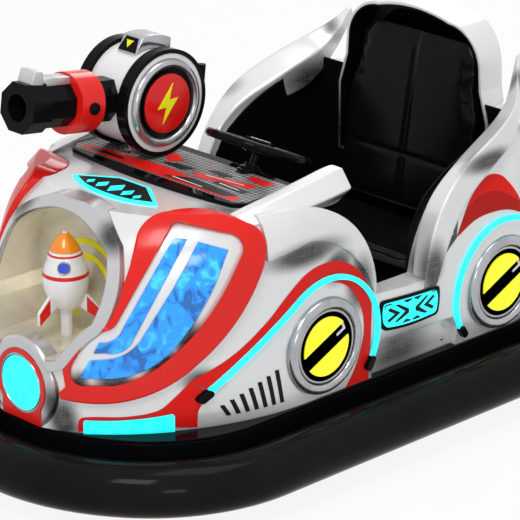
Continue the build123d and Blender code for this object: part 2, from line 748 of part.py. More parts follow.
def for_lamps(make):
    """Pieces that all four side lamps share, made once for each left one and mirrored."""
    pieces = []
    for place, x in LAMP_PLACES.items():
        pieces += pair(make(x, LAMP_OUT[place])).solids()
    return Compound(children=pieces)


def hub_rims():
    """Rounded bright rim of each side lamp."""
    def make(x, out):
        rim = ring((x, LAMP_IN, LAMP_Z), (x, out, LAMP_Z), LAMP_R, LAMP_FACE_R)
        front = rim.edges().filter_by_position(Axis.Y, out - PAST, out + PAST)
        rounds = front.sort_by(SortBy.LENGTH)
        rim = rim.fillet(RIM_OUT_ROUND, [rounds[-1]])
        inner = rim.edges().filter_by_position(Axis.Y, out - PAST, out + PAST).sort_by(SortBy.LENGTH)
        return rim.fillet(RIM_IN_ROUND, [inner[0]])
    return for_lamps(make)


def hub_faces():
    def make(x, out):
        return rod((x, LAMP_IN, LAMP_Z), (x, out - LAMP_SINK, LAMP_Z), LAMP_FACE_R - SEAT_GAP)
    return for_lamps(make)


def hub_segments():
    """Two yellow segments on each dark face, parted by a bar that rises to the rear."""
    def make(x, out):
        low = out - LAMP_SINK + SEAT_GAP
        disc = rod((x, low, LAMP_Z), (x, low + SEGMENT_T, LAMP_Z), SEGMENT_R)
        bar = box((-BAR_W / 2, 0, -FAR), (BAR_W / 2, FAR, FAR)).rotate(Axis.Y, -45)
        return disc - bar.moved(Location((x, 0, LAMP_Z)))
    return for_lamps(make)


# ---------------------------------------------------------------- light strips
STRIP_W = 14
STRIP_PROUD = 10
STRIP_R = 190               # radius of a strip's round part
FRONT_STRIP_X = 118         # middle of the front strip's round part
FRONT_STRIP_START, FRONT_STRIP_TURN = 208, 53.5     # angles of its two ends
FRONT_STRIP_RUN = 338       # straight stretch down to the nose
REAR_STRIP_START, REAR_STRIP_END = -32, 198
CAP_LENGTH = 24
CAP_W = 20
CAP_PROUD = 15


def strip_point(x, angle, ahead=0.0):
    """Point on a strip's round part, or ahead of it along the tangent towards the nose."""
    turn = radians(angle)
    return (x + STRIP_R * cos(turn) + ahead * sin(turn), LAMP_Z + STRIP_R * sin(turn) - ahead * cos(turn))


def strip_arc(x, start, end):
    return ThreePointArc(*[strip_point(x, angle) for angle in (start, (start + end) / 2, end)])


def on_flank(edges, width, low, high, skin):
    """Rail along a line drawn in X and Z, lying on the left flank of a body block."""
    centre = Plane.XZ.offset(-FAR).location * Wire(edges)
    outline = Face(centre.offset_2d(width / 2, side=Side.BOTH))
    block = extruded(outline, (0, -FAR, 0))
    return main_solid((skin(high) - skin(low)) & block)


CAP_TURN = CAP_LENGTH / STRIP_R * 180 / pi
FRONT_RUN = (strip_point(FRONT_STRIP_X, FRONT_STRIP_TURN),
             strip_point(FRONT_STRIP_X, FRONT_STRIP_TURN, FRONT_STRIP_RUN),
             strip_point(FRONT_STRIP_X, FRONT_STRIP_TURN, FRONT_STRIP_RUN + CAP_LENGTH))
REAR_STRIP_X = LAMP_PLACES["rear"]


def light_strips():
    """Glowing strips that arch over the side lamps."""
    front = on_flank([strip_arc(FRONT_STRIP_X, FRONT_STRIP_START, FRONT_STRIP_TURN), Line(*FRONT_RUN[:2])],
                     STRIP_W, SEAT_GAP, STRIP_PROUD, hull)
    rear = on_flank([strip_arc(REAR_STRIP_X, REAR_STRIP_START, REAR_STRIP_END)],
                    STRIP_W, SEAT_GAP, STRIP_PROUD, tail_hull)
    ends = strip_caps().solids()
    trimmed = []
    for rail in (front, rear):
        for end in ends:
            rail = main_solid(rail - end)
        trimmed.append(rail)
    return pair(Compound(children=trimmed))


def strip_caps():
    """Black end caps of the light strips."""
    caps = [
        on_flank([Line(*FRONT_RUN[1:])], CAP_W, SEAT_GAP, CAP_PROUD, hull),
        on_flank([strip_arc(FRONT_STRIP_X, FRONT_STRIP_START, FRONT_STRIP_START + CAP_TURN)],
                 CAP_W, SEAT_GAP, CAP_PROUD, hull),
        on_flank([strip_arc(REAR_STRIP_X, REAR_STRIP_START, REAR_STRIP_START - CAP_TURN)],
                 CAP_W, SEAT_GAP, CAP_PROUD, tail_hull),
        on_flank([strip_arc(REAR_STRIP_X, REAR_STRIP_END, REAR_STRIP_END + CAP_TURN)],
                 CAP_W, SEAT_GAP, CAP_PROUD, tail_hull),
    ]
    return pair(Compound(children=caps))


# ---------------------------------------------------------------- ribbons
# Stations of the left ribbon from the sill to its horn.  Each is three corners of its section,
# as (x, y, z): the inner edge, the ridge, and the lower edge of the outer face.
RIBBON = [
    ((-253, 420, 440), (-243, 476, 440), (-292, 479, 440)),
    ((-256, 420, 560), (-262, 477, 572), (-335, 479, 545)),
    ((-305, 420, 678), (-320, 479, 690), (-390, 479, 645)),
    ((-400, 418, 742), (-411, 480, 775), (-470, 480, 706)),
    ((-500, 400, 779), (-500, 479, 812), (-560, 476, 757)),
    ((-630, 382, 826), (-640, 452, 866), (-650, 444, 775)),
    ((-702, 358, 862), (-700, 398, 906), (-712, 405, 845)),
    ((-745, 335, 925), (-748, 352, 950), (-772, 368, 905)),
    ((-770, 328, 968), (-772, 334, 978), (-786, 338, 962)),
]


def ribbon():
    """Left ribbon: a four-cornered band that twists as it rises to the horn, in straight lengths."""
    sections = []
    for station in RIBBON:
        inner, ridge, lower = [Vector(*corner) for corner in station]
        hidden = inner + lower - ridge
        corners = [inner, ridge, lower, hidden]
        sides = [Line(corners[i], corners[(i + 1) % 4]) for i in range(4)]
        sections.append(Face(Wire(sides)))
    return lofted(sections, ruled=True)


def ribbons():
    return pair(main_solid(ribbon() - hood_space()))


# ---------------------------------------------------------------- seat and its hood
HOOD_FRONT = -690
HOOD_BACK = -818
HOOD_LOW = 560
HOOD_BEND = 48              # depth of the hood's bowed back
# Right half of the hood seen from the front, above its foot, up to the arc of its top.
HOOD_HALF = [(296, 770), (268, 862), (264, 930), (230, 1004, True), (140, 1044)]
HOOD_CROWN = (0, 1064, True)
HOOD_LINER_T = 5


def hood_shield(inset, back, front, low=HOOD_LOW):
    """Straight block of the hood's outline as seen from the front."""
    foot = (HOOD_HALF[0][0], low)
    outline = profile(both_halves([foot, *HOOD_HALF], HOOD_CROWN), Plane.YZ)
    outline = outline.offset_2d(-inset) if inset else outline
    return extruded(Face(outline).moved(Location((back, 0, 0))), (front - back, 0, 0))


def hood_space():
    """Space of the hood and of what it holds, cut from the tail, the liner and the ribbons."""
    return hood_shield(-SEAT_GAP, 2 * REAR_X, HOOD_FRONT)


def hood_block(inset):
    """Upright shield of the seat back with a bowed rear; inset draws it in all round."""
    half, back = HOOD_HALF[0][0] + PAST - inset, HOOD_BACK + inset
    side = back + HOOD_BEND
    plan = [(HOOD_FRONT, -half), (HOOD_FRONT, half), (side, half), (back, 0, True), (side, -half)]
    bowed = extruded(Face(profile(plan, Plane.XY)), (0, 0, FAR))
    return hood_shield(inset, HOOD_BACK, HOOD_FRONT) & bowed


def seat_hood():
    return main_solid(hood_block(0) - hood_block(WALL) - hood_shield(WALL, HOOD_FRONT - WALL, 0))


def hood_liner():
    inset = WALL + SEAT_GAP
    inner = inset + HOOD_LINER_T
    return main_solid(hood_block(inset) - hood_block(inner) - hood_shield(inner, HOOD_FRONT - WALL, 0))


SEAT_FRONT_X = -330
SEAT_TOE = 30               # the base is set back this much at the floor
SEAT_BASE_TOP = 378
CUSHION_T = 62
CUSHION_ROUND = 18
CUSHION_LIP = 6


def seat_base():
    """Hollow moulding that carries the bench over the battery."""
    low = FLOOR_TOP + SEAT_GAP
    half = COCKPIT_HALF - LINER_T - 3 * SEAT_GAP
    back = COCKPIT_REAR + LINER_T + 2 * SEAT_GAP
    toe = SEAT_FRONT_X - SEAT_TOE
    outer = side_prism([(back, low), (back, SEAT_BASE_TOP), (SEAT_FRONT_X, SEAT_BASE_TOP), (toe, low)], half)
    inner = side_prism([(back + WALL, low - PAST), (back + WALL, SEAT_BASE_TOP - WALL),
                        (SEAT_FRONT_X - WALL, SEAT_BASE_TOP - WALL), (toe - WALL, low - PAST)], half - WALL)
    return outer - inner


def battery_block():
    low = FLOOR_TOP + SEAT_GAP
    return box((-640, -260, low), (-420, 260, low + 120))


def seat_cushion():
    low = SEAT_BASE_TOP + SEAT_GAP
    half = COCKPIT_HALF - LINER_T - CUSHION_LIP
    back = COCKPIT_REAR + WALL
    block = box((back, -half, low), (SEAT_FRONT_X + CUSHION_LIP, half, low + CUSHION_T))
    return block.fillet(CUSHION_ROUND, block.edges().group_by(Axis.Z)[-1])


BACK_T = 58                 # thickness of the seat back at its foot
BACK_SIDE = 24              # gap between the seat back and the hood's outline


def seat_back():
    """Leaning back rest that follows the hood's outline."""
    low = SEAT_BASE_TOP + CUSHION_T + 2 * SEAT_GAP
    foot = HOOD_FRONT + SEAT_GAP
    bend = HOOD_LOW + WALL + HOOD_LINER_T + BACK_SIDE / 2
    side = [(foot + BACK_T, low), (foot, low), (foot, bend), (-772, 990), (-730, 1004), (foot + 28, 640)]
    return side_prism(side) & hood_shield(BACK_SIDE, -FAR, 0, low - BACK_SIDE)


# ---------------------------------------------------------------- display board and arms
BOARD_REAR, BOARD_FRONT = 118, 340
BOARD_HALF = 348
BOARD_T = 12
BOARD_CHAMFER = 30
DECK_LINE = BODY_TOP + SEAT_GAP


def display_board():
    """Flat board across the bonnet, bowed at its front and rear edges."""
    half, corner = BOARD_HALF, BOARD_CHAMFER
    outline = [(BOARD_REAR, -half), (DASH_X, 0, True), (BOARD_REAR, half), (BOARD_FRONT - corner, half),
               (BOARD_FRONT, half - corner), (BOARD_FRONT + 24, 0, True), (BOARD_FRONT, corner - half),
               (BOARD_FRONT - corner, -half)]
    board = extruded(Face(profile(outline, Plane.XY.offset(DECK_LINE))), (0, 0, BOARD_T))
    return board - gun_space(2 * GUN_COLLAR_T) - column_space()


def emblem_panel():
    """Fan-shaped panel on the bonnet, before the board."""
    outline = [(395, -60), (395, 60), (470, 170), (505, 90, True), (515, 0), (505, -90, True), (470, -170)]
    return extruded(Face(profile(outline, Plane.XY.offset(DECK_LINE))), (0, 0, APRON_PROUD))


# Stations of the left arm, from the pod to its free end: x, then (y, z) of its four corners:
# inner and outer top, outer ridge, and inner foot.
ARM = [
    (385, (352, 790), (378, 786), (412, 762), (380, 740)),
    (230, (358, 812), (388, 808), (430, 768), (385, 738)),
    (100, (360, 830), (398, 828), (438, 780), (380, 730)),
    (20, (360, 842), (402, 840), (440, 790), (376, 726)),
    (6, (367, 834), (396, 832), (430, 792), (383, 738)),
]


def arms():
    """Wedge-shaped arm rests that rise rearwards off the bonnet."""
    sections = []
    for x, *corners in ARM:
        points = [(x, *corner) for corner in corners]
        sides = [Line(points[i], points[(i + 1) % 4]) for i in range(4)]
        sections.append(Face(Wire(sides)))
    top = SHOULDER_Z + ARCH_R + SEAT_GAP
    body = side_prism(front_outline(-SEAT_GAP)) & box((-FAR, -FAR, 0), (FAR, FAR, top))
    arm = lofted(sections, ruled=True) - body - corner_prism(POD_RIM, SEAT_GAP)
    return pair(main_solid(arm))


# ---------------------------------------------------------------- cannon
PITCH = radians(GUN_PITCH)
BARREL_AXIS = Vector(cos(PITCH), 0, sin(PITCH))
DRUM_AT = Vector(200, GUN_Y, GUN_AXIS_Z)
SIDE = Vector(0, 1, 0)
DRUM_CORE_R = DRUM_R - 12
DRUM_RECESS = 14            # depth of the round recess in each side of the drum
RECESS_R = 124
DISC_R = 88
DISC_STEP = 12
RIM_BAND = 32
MUZZLE_ACROSS = BARREL_ACROSS + 18
MUZZLE_LENGTH = 70
BORE_R = 38
BORE_DEPTH = 110
SLEEVE_R = 85
SLEEVE_FROM, SLEEVE_TO = 205, 285
POST_TOP = GUN_AXIS_Z - 60


def barrel_point(along):
    return DRUM_AT + BARREL_AXIS * along


def drum_sides():
    """Middle of each side face of the drum, with the way that it looks."""
    return [(DRUM_AT + SIDE * sign * DRUM_W / 2, SIDE * sign) for sign in (1, -1)]


def gun_mount():
    """Collar in the bonnet that the cannon's post turns in."""
    outer = GUN_POST_R + GUN_COLLAR_T - SEAT_GAP
    collar = upright(GUN_X, GUN_Y, BODY_TOP - 48, BODY_TOP + 5, outer)
    return collar - upright(GUN_X, GUN_Y, 0, FAR, GUN_POST_R + RUNNING_GAP)


def gun_post():
    return upright(GUN_X, GUN_Y, BODY_TOP - 60, POST_TOP, GUN_POST_R)


def gun_drum():
    """Round housing of the cannon, recessed on both sides."""
    (left, out), (right, _) = drum_sides()
    drum = rod(right, left, DRUM_CORE_R) - upright(GUN_X, GUN_Y, 0, POST_TOP, GUN_POST_R)
    for face, out in drum_sides():
        drum -= rod(face - out * DRUM_RECESS, face + out * PAST, RECESS_R)
    return drum


def gun_rims():
    rims = []
    for face, out in drum_sides():
        band = ring(face - out * RIM_BAND, face + out * 2, DRUM_R, DRUM_CORE_R + SEAT_GAP)
        rims.append(band)
    return Compound(children=rims)


def gun_discs():
    """Stepped disc in each recess."""
    discs = []
    for face, out in drum_sides():
        seat = face - out * DRUM_RECESS
        discs.append(rod(seat, seat + out * DISC_STEP, RECESS_R - SEAT_GAP) + rod(seat, face + out * 8, DISC_R))
    return Compound(children=discs)


def octagon_bar(start, end, across):
    plane = Plane(origin=start, x_dir=(0, 1, 0), z_dir=(end - start).normalized())
    face = plane * RegularPolygon(across / 2, 8, major_radius=False, rotation=22.5)
    return extruded(Face(face.face().wrapped), end - start)


def drum_space():
    """The drum's body with a seat gap round it, cut from what is fastened to it."""
    return rod(DRUM_AT - SIDE * DRUM_W, DRUM_AT + SIDE * DRUM_W, DRUM_CORE_R + SEAT_GAP)


def gun_barrel():
    barrel = octagon_bar(barrel_point(DRUM_CORE_R / 2), barrel_point(BARREL_REACH), BARREL_ACROSS)
    barrel += octagon_bar(barrel_point(BARREL_REACH - MUZZLE_LENGTH), barrel_point(BARREL_REACH), MUZZLE_ACROSS)
    barrel -= rod(barrel_point(BARREL_REACH - BORE_DEPTH), barrel_point(BARREL_REACH + PAST), BORE_R)
    return main_solid(barrel - drum_space())


def gun_sleeve():
    sleeve = rod(barrel_point(SLEEVE_FROM), barrel_point(SLEEVE_TO), SLEEVE_R)
    return sleeve - octagon_bar(barrel_point(SLEEVE_FROM - PAST), barrel_point(SLEEVE_TO + PAST),
                                BARREL_ACROSS + SEAT_GAP)


SIGHT_HALF = 38
SIGHT_TOP = DRUM_R + 26
RAIL_HALF, RAIL_TOP = 22, 104
BEAD_HALF, BEAD_TOP = 30, 122


def gun_sight():
    """Box on top of the drum, with the rail that runs forward to the front sight."""
    end = BARREL_REACH - 15
    block = box((-60, -SIGHT_HALF, DRUM_CORE_R - 30), (70, SIGHT_HALF, SIGHT_TOP))
    rail = box((60, -RAIL_HALF, SLEEVE_R + SEAT_GAP), (end - 30, RAIL_HALF, RAIL_TOP))
    bead = box((end - 45, -BEAD_HALF, MUZZLE_ACROSS / 2 + SEAT_GAP), (end, BEAD_HALF, BEAD_TOP))
    shape = (block + rail + bead).rotate(Axis.Y, -GUN_PITCH).moved(Location(DRUM_AT))
    sleeve = rod(barrel_point(SLEEVE_FROM - PAST), barrel_point(SLEEVE_TO + PAST), SLEEVE_R + SEAT_GAP)
    return main_solid(shape - drum_space() - sleeve)


GRIP_R = 12
GRIP_Y = 50
GRIP_BACK, GRIP_RISE = 175, 85


def gun_grips():
    """Two upturned handles behind the drum."""
    grips = []
    for y in (GUN_Y + GRIP_Y, GUN_Y - GRIP_Y):
        start = (DRUM_AT.X - DRUM_CORE_R + 20, y, GUN_AXIS_Z - 20)
        bend = (DRUM_AT.X - GRIP_BACK, y, GUN_AXIS_Z - 25)
        end = (DRUM_AT.X - GRIP_BACK - 10, y, GUN_AXIS_Z - 25 + GRIP_RISE)
        knee = Solid.make_sphere(GRIP_R).moved(Location(bend))
        grips.append(main_solid(rod(start, bend, GRIP_R) + knee + rod(bend, end, GRIP_R) - drum_space()))
    return Compound(children=grips)


# ---------------------------------------------------------------- all pieces
SINGLE_PIECES = (
    bumper_ring, plinth, floor_pan, chassis_frame, rear_axle, drive_mount, drive_fork, drive_motor,
    steering_column, steering_wheel, pedal, front_body, tail_body, cockpit_liner, nose_bowl, nose_arch,
    rocket_ornament, pod_rims, pod_faces, pod_lenses, apron_lamps, hub_rims, hub_faces, hub_segments,
    light_strips, strip_caps, ribbons, seat_hood, hood_liner, seat_base, battery_block, seat_cushion,
    seat_back, display_board, emblem_panel, arms, gun_mount, gun_post, gun_drum, gun_rims, gun_discs,
    gun_barrel, gun_sleeve, gun_sight, gun_grips,
)


def main():
    os.makedirs("parts", exist_ok=True)
    for build in SINGLE_PIECES:
        save(build.__name__, build())
    for name, y in (("left", REAR_TRACK_HALF), ("right", -REAR_TRACK_HALF)):
        tyre, hub = wheel_parts(REAR_AXLE_X, y, REAR_WHEEL_R, REAR_WHEEL_W, AXLE_R + RUNNING_GAP)
        save(f"rear_tyre_{name}", tyre)
        save(f"rear_hub_{name}", hub)
    tyre, hub = wheel_parts(DRIVE_X, 0, DRIVE_WHEEL_R, DRIVE_WHEEL_W, DRIVE_AXLE_R + RUNNING_GAP)
    save("drive_tyre", tyre)
    save("drive_hub", hub)
    for name, piece in zip(("housing", "ring", "lens"), nose_lamp()):
        save(f"nose_lamp_{name}", piece)


if __name__ == "__main__":
    main()
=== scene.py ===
"""Battery bumper car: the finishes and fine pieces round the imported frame.

Metres.  +X is forward, +Y the car's left, +Z up, and the origin is on the floor under the car.
Run as a script it builds everything; its operators are also listed in a sidebar panel.
"""
import json
from math import ceil, cos, pi, radians, sin

import bmesh
import bpy
from bpy.props import FloatProperty, FloatVectorProperty, IntProperty, PointerProperty
from mathutils import Matrix, Vector
from mathutils.bvhtree import BVHTree


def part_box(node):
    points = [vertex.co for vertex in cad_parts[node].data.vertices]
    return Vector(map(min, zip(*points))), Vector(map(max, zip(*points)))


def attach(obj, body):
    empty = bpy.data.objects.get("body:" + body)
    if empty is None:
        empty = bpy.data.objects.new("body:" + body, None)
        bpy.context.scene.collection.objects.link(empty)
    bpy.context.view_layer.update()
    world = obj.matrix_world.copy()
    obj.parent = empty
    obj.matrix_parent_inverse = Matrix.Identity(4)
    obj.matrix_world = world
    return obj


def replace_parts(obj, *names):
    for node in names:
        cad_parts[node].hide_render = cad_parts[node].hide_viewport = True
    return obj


bl_info = {
    "name": "Battery Bumper Car",
    "version": (1, 0, 0),
    "blender": (4, 5, 0),
    "location": "View3D > Sidebar > Bumper Car",
    "description": "Builds the finishes, lamps, trims and stage of a battery bumper car",
    "category": "Object",
}

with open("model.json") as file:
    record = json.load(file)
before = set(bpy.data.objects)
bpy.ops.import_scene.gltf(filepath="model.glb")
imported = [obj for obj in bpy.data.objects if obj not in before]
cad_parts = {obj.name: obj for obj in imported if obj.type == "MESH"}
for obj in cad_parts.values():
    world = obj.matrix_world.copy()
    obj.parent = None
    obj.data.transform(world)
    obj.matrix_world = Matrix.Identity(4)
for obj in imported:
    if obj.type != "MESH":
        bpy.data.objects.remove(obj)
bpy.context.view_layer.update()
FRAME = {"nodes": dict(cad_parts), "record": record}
NODES = FRAME["nodes"]
JOINTS = {joint["name"]: joint for joint in FRAME["record"]["behaviour"]["joints"]}
SIDES = (1, -1)             # the car's left and right


# ------------------------------------------------------------------ settings
def colour(name, text, value):
    return FloatVectorProperty(name=name, description=text, subtype="COLOR", size=3, min=0, max=1,
                               default=value)


def length(name, text, value):
    return FloatProperty(name=name, description=text, subtype="DISTANCE", unit="LENGTH", default=value)


class BumperCarColours(bpy.types.PropertyGroup):
    """Colours of the car's finishes."""
    silver: colour("Silver film", "Brushed film over the body mouldings", (0.86, 0.865, 0.87))
    white: colour("White", "Gloss white mouldings", (0.86, 0.86, 0.87))
    red: colour("Red", "Gloss red trims", (0.78, 0.012, 0.008))
    black: colour("Black", "Gloss black mouldings", (0.004, 0.004, 0.005))
    cyan: colour("Cyan light", "Lit strips and panels", (0.0, 0.93, 0.95))
    yellow: colour("Yellow", "Side lamp segments and signs", (1.0, 0.93, 0.0))
    blue: colour("Blue", "Rippled corner lenses", (0.01, 0.28, 0.95))
    champagne: colour("Champagne", "Inside of the nose bowl", (0.80, 0.75, 0.60))


class BumperCarStage(bpy.types.PropertyGroup):
    """Camera, floor and lamps."""
    azimuth: FloatProperty(name="Camera azimuth",
                           description="Angle of the camera round the car, from the front",
                           subtype="ANGLE", default=radians(45.7))
    elevation: FloatProperty(name="Camera elevation", description="How far the camera looks down",
                             subtype="ANGLE", default=radians(20.8))
    distance: length("Camera distance", "From the aim point to the camera", 8.7)
    lens: FloatProperty(name="Lens", description="Focal length", subtype="DISTANCE_CAMERA", default=223.6)
    floor: length("Floor size", "Side of the square floor", 60.0)


# ------------------------------------------------------------------ small helpers
def colours():
    return bpy.context.scene.bumper_car_colours


def link(obj):
    bpy.context.scene.collection.objects.link(obj)
    return obj


def mount(name, mesh, body, finish):
    """New piece from a mesh: given its material and fixed to a body."""
    mesh.materials.append(finish)
    obj = link(bpy.data.objects.new(name, mesh))
    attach(obj, body)
    return obj


def smooth(mesh, angle=35):
    """Shade smooth, with sharp edges where the faces turn by more than an angle."""
    mesh.shade_smooth()
    mesh.set_sharp_from_angle(angle=radians(angle))


def piece(name, bm, body, finish, angle=35):
    """A finished piece from a bmesh: shaded, given its material and fixed to a body."""
    bmesh.ops.recalc_face_normals(bm, faces=bm.faces)
    mesh = bpy.data.meshes.new(name)
    bm.to_mesh(mesh)
    bm.free()
    smooth(mesh, angle)
    return mount(name, mesh, body, finish)


def subdivide(obj, levels):
    """Smooth a piece by subdivision, in view and in render alike."""
    finer = obj.modifiers.new("finer", "SUBSURF")
    finer.levels = finer.render_levels = levels


def box_of(*nodes):
    """Lowest and highest corners of some CAD nodes together."""
    lows, highs = zip(*(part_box(node) for node in nodes))
    return (Vector([min(low[i] for low in lows) for i in range(3)]),
            Vector([max(high[i] for high in highs) for i in range(3)]))


# ------------------------------------------------------------------ outlines and thin films
# Directions of a film's drawing: its u axis, its v axis and the way that it looks.
SIDE_VIEW = (Vector((1, 0, 0)), Vector((0, 0, 1)), Vector((0, 1, 0)))
TOP_VIEW = (Vector((1, 0, 0)), Vector((0, 1, 0)), Vector((0, 0, 1)))
FRONT_VIEW = (Vector((0, 1, 0)), Vector((0, 0, 1)), Vector((1, 0, 0)))
REAR_VIEW = (Vector((0, 1, 0)), Vector((0, 0, 1)), Vector((-1, 0, 0)))
TURN, LIFT = radians(45.7), radians(20.8)       # the plane that the front corners' trims are drawn in
CORNER_OUT = Vector((cos(LIFT) * cos(TURN), cos(LIFT) * sin(TURN), sin(LIFT)))
CORNER_ACROSS = Vector((-sin(TURN), cos(TURN), 0))
CORNER_VIEW = (CORNER_ACROSS, CORNER_OUT.cross(CORNER_ACROSS), CORNER_OUT)


def drawn(points, step=0.008, closed=True):
    """Line through (u, v) points, smooth at each of them but for those marked True."""
    count = len(points)
    flat = [Vector(point[:2]) for point in points]
    line = []
    for i in range(count if closed else count - 1):
        j = (i + 1) % count
        chord = flat[j] - flat[i]

        def heading(k):
            if len(points[k]) > 2 or (not closed and k in (0, count - 1)):
                return chord
            return (flat[(k + 1) % count] - flat[k - 1]).normalized() * chord.length

        lead, tail = heading(i), heading(j)
        straight = len(points[i]) > 2 and len(points[j]) > 2
        steps = 1 if straight else max(2, ceil(chord.length / step))
        for n in range(steps):
            t = n / steps
            line.append(flat[i] * (2 * t ** 3 - 3 * t * t + 1) + lead * (t ** 3 - 2 * t * t + t)
                        + flat[j] * (3 * t * t - 2 * t ** 3) + tail * (t ** 3 - t * t))
    return line if closed else line + [flat[-1]]


def arc(middle, radius, start, end, steps=32):
    """Points along an arc, its angles in degrees."""
    turns = [radians(start + (end - start) * n / steps) for n in range(steps + 1)]
    return [Vector((middle[0] + radius * cos(turn), middle[1] + radius * sin(turn))) for turn in turns]


def corners(*points):
    return [Vector(point) for point in points]


def stroke(line, width):
    """Outline of an even stroke along an open line."""
    sides = [[], []]
    for i, point in enumerate(line):
        way = (line[min(i + 1, len(line) - 1)] - line[max(i - 1, 0)]).normalized()
        aside = Vector((-way.y, way.x)) * width / 2
        sides[0].append(point + aside)
        sides[1].append(point - aside)
    return sides[0] + sides[1][::-1]


class Skin:
    """Outer surface of some CAD nodes, which films are pressed onto."""
    SOFTEN = 0.015              # reach over which the surface's facets are evened out

    def __init__(self, *nodes):
        points, faces = [], []
        for node in nodes:
            mesh, start = NODES[node].data, len(points)
            points += [vert.co.copy() for vert in mesh.vertices]
            faces += [[start + i for i in face.vertices] for face in mesh.polygons]
        self.tree = BVHTree.FromPolygons(points, faces)

    def hit(self, start, way):
        """Where a line meets the surface, and the evened-out normal there."""
        place, normal, _, _ = self.tree.ray_cast(start, way)
        if place is None:
            return None, None
        total = normal.copy()
        for _, other, _, distance in self.tree.find_nearest_range(place, self.SOFTEN):
            if other.dot(normal) > 0.8:
                total += other * (1 - distance / self.SOFTEN)
        total.normalize()
        return place, (total if total.dot(way) < 0 else -total)


def film(name, lines, view, skin, slot, finish, lift=0.001, least=-9.0, cell=0.01, body="car", both=True,
         edge=0.0):
    """Printed film, or with an edge a thin plate: outlines pressed onto the surface of CAD nodes."""
    across, up, out = view
    points, normals, faces = [], [], []
    for line in lines:
        bm = bmesh.new()
        bm.faces.new([bm.verts.new((u, v, 0)) for u, v in line])
        for axis in (0, 1):
            values = [point[axis] for point in line]
            normal = Vector((1 - axis, axis, 0))
            for n in range(ceil(min(values) / cell), ceil(max(values) / cell)):
                bmesh.ops.bisect_plane(bm, geom=bm.verts[:] + bm.edges[:] + bm.faces[:], dist=1e-5,
                                       plane_co=normal * n * cell, plane_no=normal)
        missed, found = [], {}
        for vert in bm.verts:
            place, normal = skin.hit(across * vert.co.x + up * vert.co.y + out * 2, -out)
            if place is None or place.dot(out) < least:
                missed.append(vert)
            else:
                found[vert] = (place + normal * lift, normal)
        bmesh.ops.delete(bm, geom=missed, context="VERTS")
        if not bm.faces:
            raise RuntimeError(f"film {name} misses the surface")
        bm.normal_update()
        upward = sum(face.normal.z for face in bm.faces) > 0
        flipped = across.cross(up).dot(out) < 0
        first, index, walls = len(faces), {}, []
        for vert in bm.verts:
            index[vert] = len(points)
            points.append(found[vert][0])
            normals.append(found[vert][1])
        for face in bm.faces:
            ring = [index[vert] for vert in face.verts]
            faces.append(ring if upward != flipped else ring[::-1])
        if edge:
            low = {}
            for side in [side for side in bm.edges if len(side.link_faces) == 1]:
                pair = [index[vert] for vert in side.verts]
                ring = next(ring for ring in faces[first:] if set(pair) <= set(ring))
                if ring[(ring.index(pair[0]) + 1) % len(ring)] == pair[1]:
                    pair.reverse()
                for k in pair:
                    if k not in low:
                        low[k] = len(points)
                        points.append(points[k] - normals[k] * edge)
                        normals.append(normals[k])
                walls.append([pair[0], pair[1], low[pair[1]], low[pair[0]]])
        faces += walls
        bm.free()
    if both:
        count = len(points)
        points += [Vector((p.x, -p.y, p.z)) for p in points]
        normals += [Vector((n.x, -n.y, n.z)) for n in normals]
        faces += [[count + i for i in face][::-1] for face in faces]
    mesh = bpy.data.meshes.new(name)
    mesh.from_pydata(points, [], faces)
    mesh.shade_smooth()
    if edge:
        mesh.set_sharp_from_angle(angle=radians(50))
    else:
        mesh.normals_split_custom_set_from_vertices(normals)
    return mount(name, mesh, body, finish)


def turned(bm, outline, matrix, steps=64):
    """Lathe an open outline of (radius, height) round the z axis of a matrix."""
    rings = []
    for radius, height in outline:
        rings.append([bm.verts.new(matrix @ Vector((radius * cos(2 * pi * n / steps),
                                                    radius * sin(2 * pi * n / steps), height)))
                      for n in range(steps)])
    for low, high in zip(rings, rings[1:]):
        for n in range(steps):
            bm.faces.new([low[n], low[(n + 1) % steps], high[(n + 1) % steps], high[n]])
    for ring in (rings[0], rings[-1]):
        bm.faces.new(ring)


def rounded(radius, low, high, round_to, steps=4):
    """Outline of a disc with a rounded upper edge, for turned()."""
    return [(radius, low)] + [(radius - round_to + round_to * cos(pi / 2 * n / steps),
                               high - round_to + round_to * sin(pi / 2 * n / steps))
                               for n in range(steps + 1)]


def plate(bm, line, matrix, low, high, bevel=0.001):
    """Flat plate of an outline with a bevelled front, in the frame of a matrix."""
    middle = sum(line, Vector((0, 0))) / len(line)
    rows = []
    for height, inset in ((low, 0.0), (high - bevel, 0.0), (high, bevel)):
        row = []
        for point in line:
            away = point - middle
            inner = point - away.normalized() * inset
            row.append(bm.verts.new(matrix @ Vector((inner.x, inner.y, height))))
        rows.append(row)
    for lower, upper in zip(rows, rows[1:]):
        for n in range(len(line)):
            m = (n + 1) % len(line)
            bm.faces.new([lower[n], lower[m], upper[m], upper[n]])
    bm.faces.new(rows[0][::-1])
    bm.faces.new(rows[-1])


def pipe(bm, points, radius, steps=12, closed=False):
    """Round bar along points."""
    rings = []
    count = len(points)
    for i, point in enumerate(points):
        ahead = points[(i + 1) % count] if closed or i + 1 < count else points[i]
        behind = points[i - 1] if closed or i else points[0]
        way = (ahead - behind).normalized()
        side = way.orthogonal().normalized() if not rings else (side - way * side.dot(way)).normalized()
        other = way.cross(side)
        spokes = [side * cos(2 * pi * n / steps) + other * sin(2 * pi * n / steps) for n in range(steps)]
        rings.append([bm.verts.new(point + spoke * radius) for spoke in spokes])
    pairs = list(zip(rings, rings[1:])) + ([(rings[-1], rings[0])] if closed else [])
    for low, high in pairs:
        for n in range(steps):
            bm.faces.new([low[n], low[(n + 1) % steps], high[(n + 1) % steps], high[n]])
    if not closed:
        bm.faces.new(rings[0])
        bm.faces.new(rings[-1])


